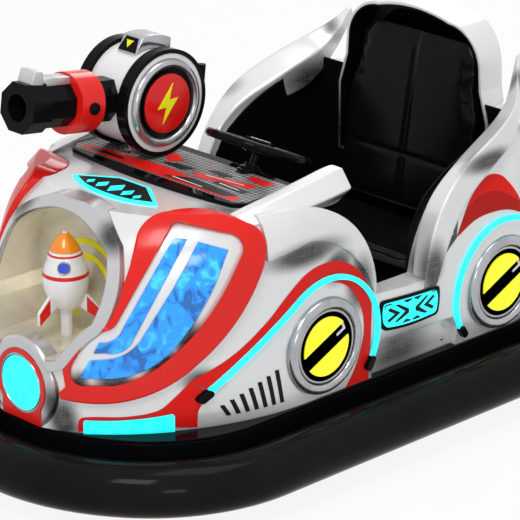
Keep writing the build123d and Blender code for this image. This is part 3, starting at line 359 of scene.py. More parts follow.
def swept(bm, stations, crease=0.85):
    """Bar through stations of four corners, its long edges creased for subdivision."""
    sharp = bm.edges.layers.float.get("crease_edge") or bm.edges.layers.float.new("crease_edge")
    rings = [[bm.verts.new(corner) for corner in station] for station in stations]
    for ring, after in zip(rings, rings[1:]):
        for n in range(4):
            bm.faces.new([ring[n], ring[(n + 1) % 4], after[(n + 1) % 4], after[n]])
    bm.faces.new(rings[0])
    bm.faces.new(rings[-1])
    at = {vert: n for n, ring in enumerate(rings) for vert in ring}
    for edge in bm.edges:
        start, end = (at[vert] for vert in edge.verts)
        edge[sharp] = crease if start != end or start in (0, len(rings) - 1) else 0.0


def frame_at(place, out, up=Vector((0, 0, 1))):
    """Matrix with its z axis along out and its y axis as near to up as it can be."""
    out = Vector(out).normalized()
    across = Vector(up).cross(out).normalized()
    turn = Matrix((across, out.cross(across), out)).transposed().to_4x4()
    return Matrix.Translation(place) @ turn


def both_sides(bm):
    """Add the mirror image of what a bmesh holds."""
    copy = bmesh.ops.duplicate(bm, geom=bm.verts[:] + bm.edges[:] + bm.faces[:])["geom"]
    for item in copy:
        if isinstance(item, bmesh.types.BMVert):
            item.co.y = -item.co.y


# ------------------------------------------------------------------ shader building
class Shader:
    """A material or node group under construction."""

    def __init__(self, tree):
        self.tree = tree
        self.tree.nodes.clear()

    def add(self, kind, settings=None, **inputs):
        """New node; inputs are values or sockets, by socket name with _ for a space."""
        node = self.tree.nodes.new(kind)
        for key, value in (settings or {}).items():
            setattr(node, key, value)
        for key, value in inputs.items():
            socket = node.inputs[int(key[1:])] if key[0] == "_" else node.inputs[key.replace("_", " ")]
            if isinstance(value, bpy.types.NodeSocket):
                self.tree.links.new(value, socket)
            else:
                socket.default_value = value
        return node

    def math(self, operation, a, b=0.0, c=0.0, clamp=False):
        return self.add("ShaderNodeMath", dict(operation=operation, use_clamp=clamp), _0=a, _1=b,
                        _2=c).outputs[0]

    def mix(self, factor, a, b):
        node = self.add("ShaderNodeMix", dict(data_type="RGBA"))
        for index, value in ((0, factor), (6, a), (7, b)):
            if isinstance(value, bpy.types.NodeSocket):
                self.tree.links.new(value, node.inputs[index])
            else:
                node.inputs[index].default_value = value
        return node.outputs[2]

    def ramp(self, value, *stops):
        """Colour ramp; each stop is (position, grey or colour)."""
        node = self.add("ShaderNodeValToRGB", _0=value)
        elements = node.color_ramp.elements
        while len(elements) < len(stops):
            elements.new(0.5)
        for element, (position, shade) in zip(elements, stops):
            element.position = position
            element.color = rgba(shade)
        return node.outputs[0]

    def noise(self, vector, scale, detail=3.0, roughness=0.5, distortion=0.0):
        return self.add("ShaderNodeTexNoise", Vector=vector, Scale=scale, Detail=detail,
                        Roughness=roughness,
                        Distortion=distortion).outputs["Fac"]

    def place(self, scale=(1, 1, 1), rotation=(0, 0, 0)):
        """Position on the object in metres, stretched by scale."""
        source = self.add("ShaderNodeTexCoord").outputs["Object"]
        return self.add("ShaderNodeMapping", Vector=source, Scale=scale, Rotation=rotation).outputs[0]


def rgba(shade):
    """Grey number or colour as four numbers."""
    if isinstance(shade, (int, float)):
        return (shade, shade, shade, 1)
    return (*tuple(shade)[:3], 1)


def node_group(name, inputs, outputs):
    """Empty shader node group with named sockets; returns the Shader, its inputs and its output node."""
    tree = bpy.data.node_groups.new(name, "ShaderNodeTree")
    for direction, sockets in (("INPUT", inputs), ("OUTPUT", outputs)):
        for label, kind, *default in sockets:
            socket = tree.interface.new_socket(name=label, in_out=direction,
                                               socket_type=f"NodeSocket{kind}")
            if default:
                socket.default_value = default[0]
    shader = Shader(tree)
    return shader, shader.add("NodeGroupInput").outputs, shader.add("NodeGroupOutput")


def group_handling():
    """Handling marks: cloudy dulling and fine hairline scratches, for glossy mouldings."""
    if "Handling Marks" in bpy.data.node_groups:
        return bpy.data.node_groups["Handling Marks"]
    s, given, out = node_group(
        "Handling Marks",
        [("Roughness", "Float", 0.1), ("Dulling", "Float", 0.08), ("Scratch Depth", "Float", 0.2)],
        [("Roughness", "Float"), ("Height", "Float")])
    cloud = s.noise(s.place(), 6.0, 5.0, 0.6)
    patch = s.ramp(cloud, (0.42, 0.0), (0.7, 1.0))
    rough = s.math("MULTIPLY_ADD", patch, given["Dulling"], given["Roughness"])
    hair = s.noise(s.place((3, 60, 60), (0.3, 0.5, 0.8)), 9.0, 2.0, 0.6)
    cut = s.ramp(hair, (0.68, 0.0), (0.72, 1.0))
    s.tree.links.new(rough, out.inputs["Roughness"])
    s.tree.links.new(s.math("MULTIPLY", cut, given["Scratch Depth"]), out.inputs["Height"])
    return s.tree


def group_brushed():
    """Brushed film: fine streaks along one direction and slow clouds of light and dark."""
    if "Brushed Film" in bpy.data.node_groups:
        return bpy.data.node_groups["Brushed Film"]
    s, given, out = node_group(
        "Brushed Film",
        [("Light", "Color", (0.7, 0.7, 0.7, 1)), ("Dark", "Color", (0.3, 0.3, 0.3, 1)),
         ("Cloud Scale", "Float", 3.0), ("Cloud Low", "Float", 0.35), ("Cloud High", "Float", 0.65)],
        [("Color", "Color"), ("Streak", "Float"), ("Cloud", "Float")])
    streak = s.noise(s.place((4, 4, 160)), 6.0, 3.0, 0.6)
    cross = s.noise(s.place((140, 140, 5), (0.0, 0.2, 0.0)), 4.0, 2.0, 0.6)
    grain = s.math("ADD", s.math("MULTIPLY", streak, 0.65), s.math("MULTIPLY", cross, 0.35))
    warp = s.add("ShaderNodeTexNoise", Vector=s.place(), Scale=given["Cloud Scale"], Detail=4.0,
                 Roughness=0.55,
                 Distortion=0.6).outputs["Fac"]
    cloud = s.add("ShaderNodeMapRange", dict(interpolation_type="SMOOTHSTEP"), Value=warp,
                  From_Min=given["Cloud Low"], From_Max=given["Cloud High"]).outputs[0]
    shade = s.math("ADD", cloud, s.math("MULTIPLY_ADD", grain, 0.7, -0.35), clamp=True)
    s.tree.links.new(s.mix(shade, given["Dark"], given["Light"]), out.inputs["Color"])
    s.tree.links.new(grain, out.inputs["Streak"])
    s.tree.links.new(cloud, out.inputs["Cloud"])
    return s.tree


def group_moulded():
    """Moulded skin: fine pebble grain for vinyl, rubber and plastic, as a height."""
    if "Moulded Skin" in bpy.data.node_groups:
        return bpy.data.node_groups["Moulded Skin"]
    s, given, out = node_group(
        "Moulded Skin",
        [("Grain Scale", "Float", 600.0), ("Grain Depth", "Float", 0.2), ("Wave Depth", "Float", 0.2)],
        [("Height", "Float")])
    pebble = s.add("ShaderNodeTexVoronoi", dict(feature="SMOOTH_F1"), Vector=s.place(),
                   Scale=given["Grain Scale"]).outputs["Distance"]
    wave = s.noise(s.place(), 7.0, 3.0)
    height = s.math("ADD", s.math("MULTIPLY", pebble, given["Grain Depth"]),
                    s.math("MULTIPLY", wave, given["Wave Depth"]))
    s.tree.links.new(height, out.inputs["Height"])
    return s.tree


def group_patch():
    """Soft patch: 1 in the middle of an ellipsoid on either side of the car, fading to 0 at its edge."""
    if "Soft Patch" in bpy.data.node_groups:
        return bpy.data.node_groups["Soft Patch"]
    s, given, out = node_group("Soft Patch", [("Middle", "Vector"), ("Reach", "Vector", (0.1, 0.1, 0.1))],
                               [("Mask", "Float")])
    place = s.add("ShaderNodeSeparateXYZ", Vector=s.place()).outputs
    folded = s.add("ShaderNodeCombineXYZ", X=place[0], Y=s.math("ABSOLUTE", place[1]),
                   Z=place[2]).outputs[0]
    away = s.add("ShaderNodeVectorMath", dict(operation="SUBTRACT"), _0=folded,
                 _1=given["Middle"]).outputs[0]
    share = s.add("ShaderNodeVectorMath", dict(operation="DIVIDE"), _0=away, _1=given["Reach"]).outputs[0]
    far = s.add("ShaderNodeVectorMath", dict(operation="LENGTH"), _0=share).outputs["Value"]
    mask = s.add("ShaderNodeMapRange", dict(interpolation_type="SMOOTHSTEP"), Value=far, From_Min=1.0,
                 From_Max=0.25, To_Min=0.0, To_Max=1.0).outputs[0]
    s.tree.links.new(mask, out.inputs["Mask"])
    return s.tree


def patches(s, shade_spots):
    """Greatest mask of several soft patches, each given by its middle and its reach."""
    mask = 0.0
    for middle, reach in shade_spots:
        spot = use_group(s, group_patch(), Middle=middle, Reach=reach)["Mask"]
        mask = s.math("MAXIMUM", mask, spot)
    return mask


def use_group(shader, tree, **inputs):
    node = shader.add("ShaderNodeGroup")
    node.node_tree = tree
    for key, value in inputs.items():
        socket = node.inputs[key.replace("_", " ")]
        if isinstance(value, bpy.types.NodeSocket):
            shader.tree.links.new(value, socket)
        else:
            socket.default_value = value
    return node.outputs


def material(name):
    """Material by name, and a Shader for it the first time that it is asked for."""
    known = bpy.data.materials.get(name)
    if known:
        return known, None
    fresh = bpy.data.materials.new(name)
    fresh.use_nodes = True
    return fresh, Shader(fresh.node_tree)


def principled(shader, height=None, strength=0.1, distance=0.001, edge=0.0, **inputs):
    """Principled BSDF wired to the output, with an optional bump and softened edges."""
    soft = {"Normal": shader.add("ShaderNodeBevel", dict(samples=4),
                                 Radius=edge).outputs[0]} if edge else {}
    if height is not None:
        bump = shader.add("ShaderNodeBump", Height=height, Strength=strength, Distance=distance, **soft)
        inputs["Normal"] = bump.outputs[0]
    bsdf = shader.add("ShaderNodeBsdfPrincipled", **inputs)
    out = shader.add("ShaderNodeOutputMaterial")
    shader.tree.links.new(bsdf.outputs[0], out.inputs[0])
    return bsdf


# ------------------------------------------------------------------ materials
GLOSS_EDGE, FILM_EDGE = 0.003, 0.004        # how far the shading softens hard edges
GRID = 0.016                                # spacing of the board's grid


def deeper(shade, share):
    """A colour scaled down to a share of itself."""
    return rgba([c * share for c in shade])


def gloss(name, shade, roughness=0.08, coat=0.3, specular=0.5):
    """Gloss plastic or lacquer with light handling marks and faint clouds of a deeper tone."""
    made, s = material(name)
    if s:
        marks = use_group(s, group_handling(), Roughness=roughness, Dulling=0.06, Scratch_Depth=0.15)
        tone = s.math("MULTIPLY_ADD", s.noise(s.place(), 2.2, 2.0), 0.5, 0.1)
        base = s.mix(tone, rgba(shade), deeper(shade, 0.86))
        principled(s, marks["Height"], 0.04, 0.0005, GLOSS_EDGE, Base_Color=base,
                   Roughness=marks["Roughness"],
                   Specular_IOR_Level=specular, Coat_Weight=coat, Coat_Roughness=0.03)
    return made


def silver_film(name="silver film", shade_spots=(), shade=None, metallic=0.3):
    """Bright brushed film, with painted shade: near-black cloudy patches at given spots where shade falls."""
    made, s = material(name)
    if s:
        light = shade or colours().silver
        brushed = use_group(s, group_brushed(), Light=rgba(light), Dark=deeper(light, 0.8),
                            Cloud_Scale=2.6, Cloud_Low=0.2, Cloud_High=0.42)
        plain = s.mix(s.math("MULTIPLY", brushed["Cloud"], 0.8), rgba(light), deeper(light, 0.8))
        ground = s.mix(0.25, plain, brushed["Color"])
        broken = s.math("MULTIPLY_ADD", brushed["Streak"], 0.9, 0.5)
        # Painted shade: the spots darken the film towards near-black, broken up by its streaks
        dark = s.math("MULTIPLY", patches(s, shade_spots), broken, clamp=True)
        base = s.mix(dark, ground, rgba(0.02))
        rough = s.math("MULTIPLY_ADD", brushed["Streak"], 0.07, 0.2)
        principled(s, brushed["Streak"], 0.02, 0.0006, FILM_EDGE, Base_Color=base, Roughness=rough,
                   Metallic=metallic,
                   Coat_Weight=0.25, Coat_Roughness=0.08)
    return made


def dark_brushed():
    made, s = material("dark brushed film")
    if s:
        film = use_group(s, group_brushed(), Light=rgba(0.22), Dark=rgba(0.035), Cloud_Scale=7.0,
                         Cloud_Low=0.3, Cloud_High=0.75)
        rough = s.math("MULTIPLY_ADD", film["Streak"], 0.2, 0.25)
        principled(s, film["Streak"], 0.08, 0.0006, Base_Color=film["Color"], Roughness=rough, Metallic=0.8)
    return made


def lit(name, shade, strength=0.6):
    """Lit acrylic: its own colour, glowing evenly."""
    made, s = material(name)
    if s:
        haze = s.noise(s.place(), 40.0, 2.0)
        base = s.mix(s.math("MULTIPLY", haze, 0.12), rgba(shade), rgba(1.0))
        principled(s, Base_Color=base, Roughness=0.22, Specular_IOR_Level=0.12,
                   Emission_Color=rgba(shade), Emission_Strength=strength)
    return made


def rippled_lens():
    """Clear blue cover over a rippled reflector, with the reflector's glints painted in as light and dark blue."""
    made, s = material("rippled blue lens")
    if s:
        spot = s.place((1, 1, 0.8))
        wave = s.noise(spot, 24.0, 3.0, 0.45, 1.2)
        # Painted reflection: the ripples' light and dark blues stand for the reflector's glints, and the emission
        # gives them a painted glow; the relief itself is a real bump
        deep, light = [c * 0.4 for c in colours().blue], [min(1, c * 1.9 + 0.03) for c in colours().blue]
        base = s.ramp(wave, (0.36, deep), (0.48, colours().blue), (0.58, colours().blue), (0.72, light))
        principled(s, wave, 0.25, 0.002, Base_Color=base, Roughness=0.14, Coat_Weight=0.15,
                   Coat_Roughness=0.02, Emission_Color=base, Emission_Strength=0.35)
    return made


def champagne():
    """Satin champagne plate of the nose bowl."""
    made, s = material("champagne bowl")
    if s:
        shade = colours().champagne
        film = use_group(s, group_brushed(), Light=rgba([min(1, c * 1.2) for c in shade]),
                         Dark=deeper(shade, 0.7), Cloud_Scale=3.0, Cloud_Low=0.3, Cloud_High=0.7)
        principled(s, film["Streak"], 0.04, 0.0005, Base_Color=film["Color"], Roughness=0.25, Metallic=0.25,
                   Coat_Weight=0.3)
    return made


def vinyl():
    """Glossy black vinyl of the seat."""
    made, s = material("seat vinyl")
    if s:
        skin = use_group(s, group_moulded(), Grain_Scale=420.0, Grain_Depth=0.15, Wave_Depth=0.6)
        wear = s.noise(s.place(), 9.0, 4.0, 0.6)
        rough = s.math("MULTIPLY_ADD", wear, 0.14, 0.12)
        base = s.mix(wear, rgba(0.002), rgba(0.006))
        principled(s, skin["Height"], 0.10, 0.001, Base_Color=base, Roughness=rough,
                   Specular_IOR_Level=0.08)
    return made


def rubber():
    made, s = material("bumper rubber")
    if s:
        skin = use_group(s, group_moulded(), Grain_Scale=300.0, Grain_Depth=0.04, Wave_Depth=0.5)
        wear = s.noise(s.place(), 5.0, 4.0, 0.6)
        base = s.mix(wear, rgba(0.004), rgba(0.012))
        principled(s, skin["Height"], 0.06, 0.001, Base_Color=base,
                   Roughness=s.math("MULTIPLY_ADD", wear, 0.10, 0.04),
                   Specular_IOR_Level=0.05)
    return made


def tyre_rubber():
    made, s = material("tyre rubber")
    if s:
        skin = use_group(s, group_moulded(), Grain_Scale=500.0, Grain_Depth=0.4, Wave_Depth=0.3)
        wear = s.noise(s.place(), 30.0, 3.0)
        principled(s, skin["Height"], 0.2, 0.001, Base_Color=s.mix(wear, rgba(0.012), rgba(0.03)),
                   Roughness=s.math("MULTIPLY_ADD", wear, 0.2, 0.6))
    return made


def metal(name, shade, roughness=0.2, metallic=1.0):
    """Bare or painted metal with fine machining streaks."""
    made, s = material(name)
    if s:
        film = use_group(s, group_brushed(), Light=rgba(shade), Dark=deeper(shade, 0.7),
                         Cloud_Scale=12.0, Cloud_Low=0.2, Cloud_High=0.6)
        rough = s.math("MULTIPLY_ADD", film["Streak"], 0.12, roughness)
        principled(s, film["Streak"], 0.04, 0.0004, Base_Color=film["Color"], Roughness=rough,
                   Metallic=metallic)
    return made


def red():
    return gloss("gloss red", colours().red, 0.16, coat=0.0, specular=0.3)


def black():
    return gloss("gloss black", colours().black, 0.06, coat=0.0, specular=0.06)


def white():
    return gloss("gloss white", colours().white, 0.14)


def yellow():
    return gloss("gloss yellow", colours().yellow, 0.2, coat=0.0, specular=0.3)


def chrome():
    return metal("bright plate", (0.46, 0.46, 0.48), 0.14, 0.9)


def print_ink(name, shade):
    """Printed film: even colour with the faint mottling of its ink."""
    made, s = material(name)
    if s:
        mottle = s.noise(s.place(), 90.0, 3.0)
        base = s.mix(s.math("MULTIPLY", mottle, 0.25), rgba(shade), deeper(shade, 0.8))
        principled(s, Base_Color=base, Roughness=s.math("MULTIPLY_ADD", mottle, 0.1, 0.25),
                   Specular_IOR_Level=0.12)
    return made


def grid_film():
    """Grey printed film with a fine white grid."""
    made, s = material("grid film")
    if s:
        place = s.add("ShaderNodeSeparateXYZ", Vector=s.place((1 / GRID, 1 / GRID, 1))).outputs
        lines = [s.math("GREATER_THAN", s.math("ABSOLUTE",
                                               s.math("SUBTRACT", s.math("FRACT", place[i]), 0.5)), 0.45)
                 for i in (0, 1)]
        mottle = s.noise(s.place(), 8.0, 3.0)
        ground = s.mix(mottle, rgba(0.03), rgba(0.16))
        base = s.mix(s.math("MULTIPLY", s.math("MAXIMUM", *lines), 0.55), ground, rgba(0.8))
        principled(s, Base_Color=base, Roughness=s.math("MULTIPLY_ADD", mottle, 0.1, 0.2),
                   Specular_IOR_Level=0.2)
    return made


def cyan():
    return lit("cyan light", colours().cyan)


def lit_yellow():
    return lit("lit yellow", colours().yellow, 0.35)


def cast_hub():
    return metal("cast hub", (0.5, 0.5, 0.52), 0.35)


def red_ink():
    return print_ink("red film", colours().red)


def black_ink():
    return print_ink("black film", (0.008, 0.008, 0.009))


# ------------------------------------------------------------------ operators
def hand_over(table):
    """Give CAD nodes their materials, from rows of a material and its nodes."""
    for finish, nodes in table:
        for node in nodes:
            slots = NODES[node].data.materials
            slots.clear()
            slots.append(finish)


class BUMPERCAR_OT_finishes(bpy.types.Operator):
    """Give every carried-over piece of the frame its finish"""
    bl_idname = "bumper_car.finishes"
    bl_label = "Finishes"

    # Painted shade on the silver film: dark, cloudy patches where shade falls, by the middle and reach of each
    FRONT_SHADE_SPOTS = (((0.20, 0.455, 0.655), (0.19, 0.14, 0.055)), ((0.08, 0.46, 0.59), (0.08, 0.12, 0.07)),
                   ((0.0, 0.45, 0.52), (0.07, 0.1, 0.12)), ((0.51, 0.385, 0.36), (0.08, 0.09, 0.05)),
                   ((0.79, 0.14, 0.26), (0.06, 0.07, 0.09)), ((0.40, 0.33, 0.77), (0.10, 0.12, 0.06)),
                   ((-0.09, 0.46, 0.28), (0.09, 0.08, 0.10)))
    TAIL_SHADE_SPOTS = (((-0.18, 0.46, 0.275), (0.20, 0.08, 0.11)), ((-0.27, 0.46, 0.50), (0.07, 0.1, 0.08)),
                  ((-0.62, 0.385, 0.74), (0.24, 0.04, 0.13)))
    HOOD_SHADE_SPOTS = (((-0.70, 0.31, 0.58), (0.08, 0.09, 0.30)),)
    ARM_SHADE_SPOTS = (((0.02, 0.425, 0.755), (0.10, 0.05, 0.04)), ((0.20, 0.42, 0.748), (0.16, 0.05, 0.035)))
    POD_SHADE_SPOTS = (((0.55, 0.36, 0.50), (0.06, 0.05, 0.09)), ((0.61, 0.33, 0.42), (0.08, 0.07, 0.07)),
                 ((0.70, 0.25, 0.38), (0.09, 0.07, 0.05)), ((0.76, 0.18, 0.37), (0.04, 0.04, 0.05)))
    NOSE_SHADE_SPOTS = (((0.80, 0.12, 0.30), (0.05, 0.05, 0.08)), ((0.62, 0.18, 0.74), (0.08, 0.08, 0.08)))

    def execute(self, context):
        steel = metal("powder coat", (0.05, 0.05, 0.055), 0.45, 0.3)
        hand_over((
            (rubber(), ("bumper_ring",)),
            (black(), ("plinth", "floor_pan", "cockpit_liner", "seat_base", "hood_liner", "gun_mount",
                       "gun_rims",
                       "gun_barrel", "gun_grips", "steering_wheel", "steering_column", "display_board",
                       "strip_caps", "pedal", "gun_discs")),
            (silver_film("silver front", self.FRONT_SHADE_SPOTS), ("front_body",)),
            (silver_film("silver tail", self.TAIL_SHADE_SPOTS), ("tail_body",)),
            (silver_film("silver pods", self.POD_SHADE_SPOTS), ("pod_faces",)),
            (silver_film("satin nose", self.NOSE_SHADE_SPOTS, (0.60, 0.60, 0.61), 0.6),
             ("nose_lamp_housing", "nose_arch")),
            (silver_film("silver hood", self.HOOD_SHADE_SPOTS), ("seat_hood",)),
            (silver_film("silver arms", self.ARM_SHADE_SPOTS), ("arms",)),
            (silver_film(), ("gun_sight",)),
            (red(), ("pod_rims", "nose_lamp_ring", "gun_sleeve")),
            (white(), ("rocket_ornament", "gun_drum")),
            (cyan(), ("nose_lamp_lens", "apron_lamps", "light_strips", "emblem_panel")),
            (rippled_lens(), ("pod_lenses",)),
            (champagne(), ("nose_bowl",)),
            (lit_yellow(), ("hub_segments",)),
            (dark_brushed(), ("hub_faces",)),
            (vinyl(), ("seat_cushion", "seat_back")),
            (steel, ("chassis_frame", "drive_mount", "drive_fork", "drive_motor", "battery_block")),
            (chrome(), ("rear_axle", "gun_post", "hub_rims")),
            (tyre_rubber(), ("rear_tyre_left", "rear_tyre_right", "drive_tyre")),
            (cast_hub(), ("rear_hub_left", "rear_hub_right", "drive_hub")),
        ))
        return {"FINISHED"}


class BUMPERCAR_OT_seat(bpy.types.Operator):
    """Make the padded bench and back rest, blown up by a cloth simulation"""
    bl_idname = "bumper_car.seat"
    bl_label = "Seat"

    PADS = (("seat_cushion", 0.010, 0.014), ("seat_back", 0.010, 0.012))     # node, inset, most swelling
    VOXEL = 0.008               # size of the even mesh's cells
    PRESSURE, FRAMES = 4.0, 20  # force that blows a pad up, and for how long
    SEAM_X, SEAM_Z = 0.31, 0.62         # cross channel: from the cushion's rear edge, and up the back
    SEAM_DEPTH, SEAM_REACH = 0.005, 0.012

    def execute(self, context):
        for node, inset, swell in self.PADS:
            pad = self.pad(context, node, inset, swell)
            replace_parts(pad, node)
            self.piping(node)
        return {"FINISHED"}

    def pad(self, context, node, inset, swell):
        bm = bmesh.new()
        bm.from_mesh(NODES[node].data)
        bmesh.ops.remove_doubles(bm, verts=bm.verts, dist=1e-5)
        low, high = box_of(node)
        middle, size = (low + high) / 2, high - low
        for vert in bm.verts:
            vert.co = middle + Vector([(vert.co[i] - middle[i]) * (1 - 2 * inset / size[i])
                                       for i in range(3)])
        obj = piece(f"{node}_pad", bm, "car", vinyl(), 60)
        remesh = obj.modifiers.new("even mesh", "REMESH")
        remesh.mode, remesh.voxel_size = "VOXEL", self.VOXEL
        self.apply(context, obj)
        start = [vert.co.copy() for vert in obj.data.vertices]
        cloth = obj.modifiers.new("blow up", "CLOTH")
        cloth.settings.use_pressure = True
        cloth.settings.uniform_pressure_force = self.PRESSURE
        cloth.settings.effector_weights.gravity = 0
        for frame in range(1, self.FRAMES + 1):
            context.scene.frame_set(frame)
        self.apply(context, obj)
        context.scene.frame_set(1)
        for vert, place in zip(obj.data.vertices, start):
            move = vert.co - place
            if move.length > swell:
                vert.co = place + move.normalized() * swell
        self.channels(obj, node, low, high)
        obj.data.shade_smooth()
        subdivide(obj, 1)
        return obj

    def apply(self, context, obj):
        """Turn what the modifiers make into the object's own mesh."""
        made = bpy.data.meshes.new_from_object(obj.evaluated_get(context.evaluated_depsgraph_get()))
        obj.modifiers.clear()
        obj.data = made

    def channels(self, obj, node, low, high):
        """Sewn channels, pressed into the pad after it is blown up."""
        inside = (low + high) / 2
        for vert in obj.data.vertices:
            at = vert.co
            lines = [at.y - inside.y]
            if node == "seat_cushion":
                lines.append(at.x - low.x - self.SEAM_X)
                depth = self.SEAM_DEPTH if at.z > inside.z else 0.0
                down = Vector((0, 0, -1))
            else:
                lines.append(at.z - self.SEAM_Z)
                lean = 0.02 * (at.z - low.z) / (high.z - low.z)
                depth = self.SEAM_DEPTH if at.x > inside.x - lean else 0.0
                down = Vector((-1, 0, -0.2))
            nearest = min(abs(line) for line in lines)
            vert.co = at + down * depth * max(0.0, 1 - (nearest / self.SEAM_REACH) ** 2) ** 2

    def piping(self, node):
        """Welt sewn along the front edge of a pad."""
        low, high = box_of(node)
        inset = 0.022
        bm = bmesh.new()
        if node == "seat_cushion":
            x, z = high.x - 0.013, high.z - 0.010
            line = [Vector((x - 0.010 * (abs(n) / 12) ** 6, n / 12 * (high.y - inset),
                            z)) for n in range(-12, 13)]
        else:
            x, z = high.x - 0.006, low.z + 0.03
            line = [Vector((x, n / 12 * (high.y - inset), z)) for n in range(-12, 13)]
        pipe(bm, line, 0.0045)
        piece(f"{node}_welt", bm, "car", vinyl(), 60)


class BUMPERCAR_OT_ribbons(bpy.types.Operator):
    """Make the smooth, twisting ribbons that rise beside the seat"""
    bl_idname = "bumper_car.ribbons"
    bl_label = "Ribbons"

    # Inner edge, ridge and lower edge of the outer face at each station
    STATIONS = (
        ((-0.253, 0.420, 0.440), (-0.243, 0.476, 0.440), (-0.292, 0.479, 0.440)),
        ((-0.256, 0.420, 0.560), (-0.262, 0.477, 0.572), (-0.335, 0.479, 0.545)),
        ((-0.305, 0.420, 0.678), (-0.320, 0.479, 0.690), (-0.390, 0.479, 0.645)),
        ((-0.400, 0.418, 0.742), (-0.411, 0.480, 0.775), (-0.470, 0.480, 0.706)),
        ((-0.500, 0.400, 0.779), (-0.500, 0.479, 0.812), (-0.560, 0.476, 0.757)),
        ((-0.630, 0.382, 0.826), (-0.640, 0.452, 0.866), (-0.650, 0.444, 0.775)),
        ((-0.702, 0.358, 0.862), (-0.700, 0.398, 0.906), (-0.712, 0.405, 0.845)),
        ((-0.745, 0.335, 0.925), (-0.748, 0.352, 0.950), (-0.772, 0.368, 0.905)),
        ((-0.770, 0.328, 0.968), (-0.772, 0.334, 0.978), (-0.786, 0.338, 0.962)),
    )
    # Painted shade on the ribbons' silver film: middle and reach of each dark patch where shade falls
    RIBBON_SHADE_SPOTS = (((-0.28, 0.48, 0.48), (0.07, 0.06, 0.13)), ((-0.50, 0.48, 0.755), (0.16, 0.05, 0.045)),
             ((-0.74, 0.37, 0.90), (0.05, 0.04, 0.06)), ((-0.63, 0.36, 0.765), (0.22, 0.06, 0.10)))

    def execute(self, context):
        bm = bmesh.new()
        corners_of = [[Vector(corner) for corner in station] for station in self.STATIONS]
        swept(bm, [(inner, ridge, lower, inner + lower - ridge) for inner, ridge, lower in corners_of])
        both_sides(bm)
        obj = piece("ribbons_smooth", bm, "car", silver_film("silver ribbons", self.RIBBON_SHADE_SPOTS), 180)
        subdivide(obj, 4)
        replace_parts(obj, "ribbons")
        self.arms()
        return {"FINISHED"}

    # Forward place of each section of an arm rest, and its corners (sideways, up)
    ARM = (
        (0.383, (0.353, 0.790), (0.377, 0.786), (0.410, 0.762), (0.380, 0.742)),
        (0.310, (0.354, 0.800), (0.384, 0.798), (0.424, 0.765), (0.382, 0.740)),
        (0.230, (0.357, 0.811), (0.390, 0.809), (0.432, 0.769), (0.384, 0.738)),
        (0.100, (0.359, 0.830), (0.400, 0.829), (0.440, 0.781), (0.380, 0.731)),
        (0.030, (0.361, 0.841), (0.403, 0.840), (0.441, 0.790), (0.378, 0.727)),
        (0.008, (0.364, 0.838), (0.400, 0.837), (0.436, 0.790), (0.381, 0.733)),
    )

    def arms(self):
        """Rounded arm rests that rise rearwards off the bonnet."""
        bm = bmesh.new()
        swept(bm, [[Vector((x, *corner)) for corner in section] for x, *section in self.ARM], 0.6)
        both_sides(bm)
        obj = piece("arms_smooth", bm, "car", silver_film("silver arms"), 180)
        subdivide(obj, 4)
        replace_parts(obj, "arms")


LAMP = (0.131, 0.375)           # front side lamp, and the round part of its light strip
REAR_LAMP_X = -0.569
STRIP = (0.118, 0.375)
STRIP_R = 0.190


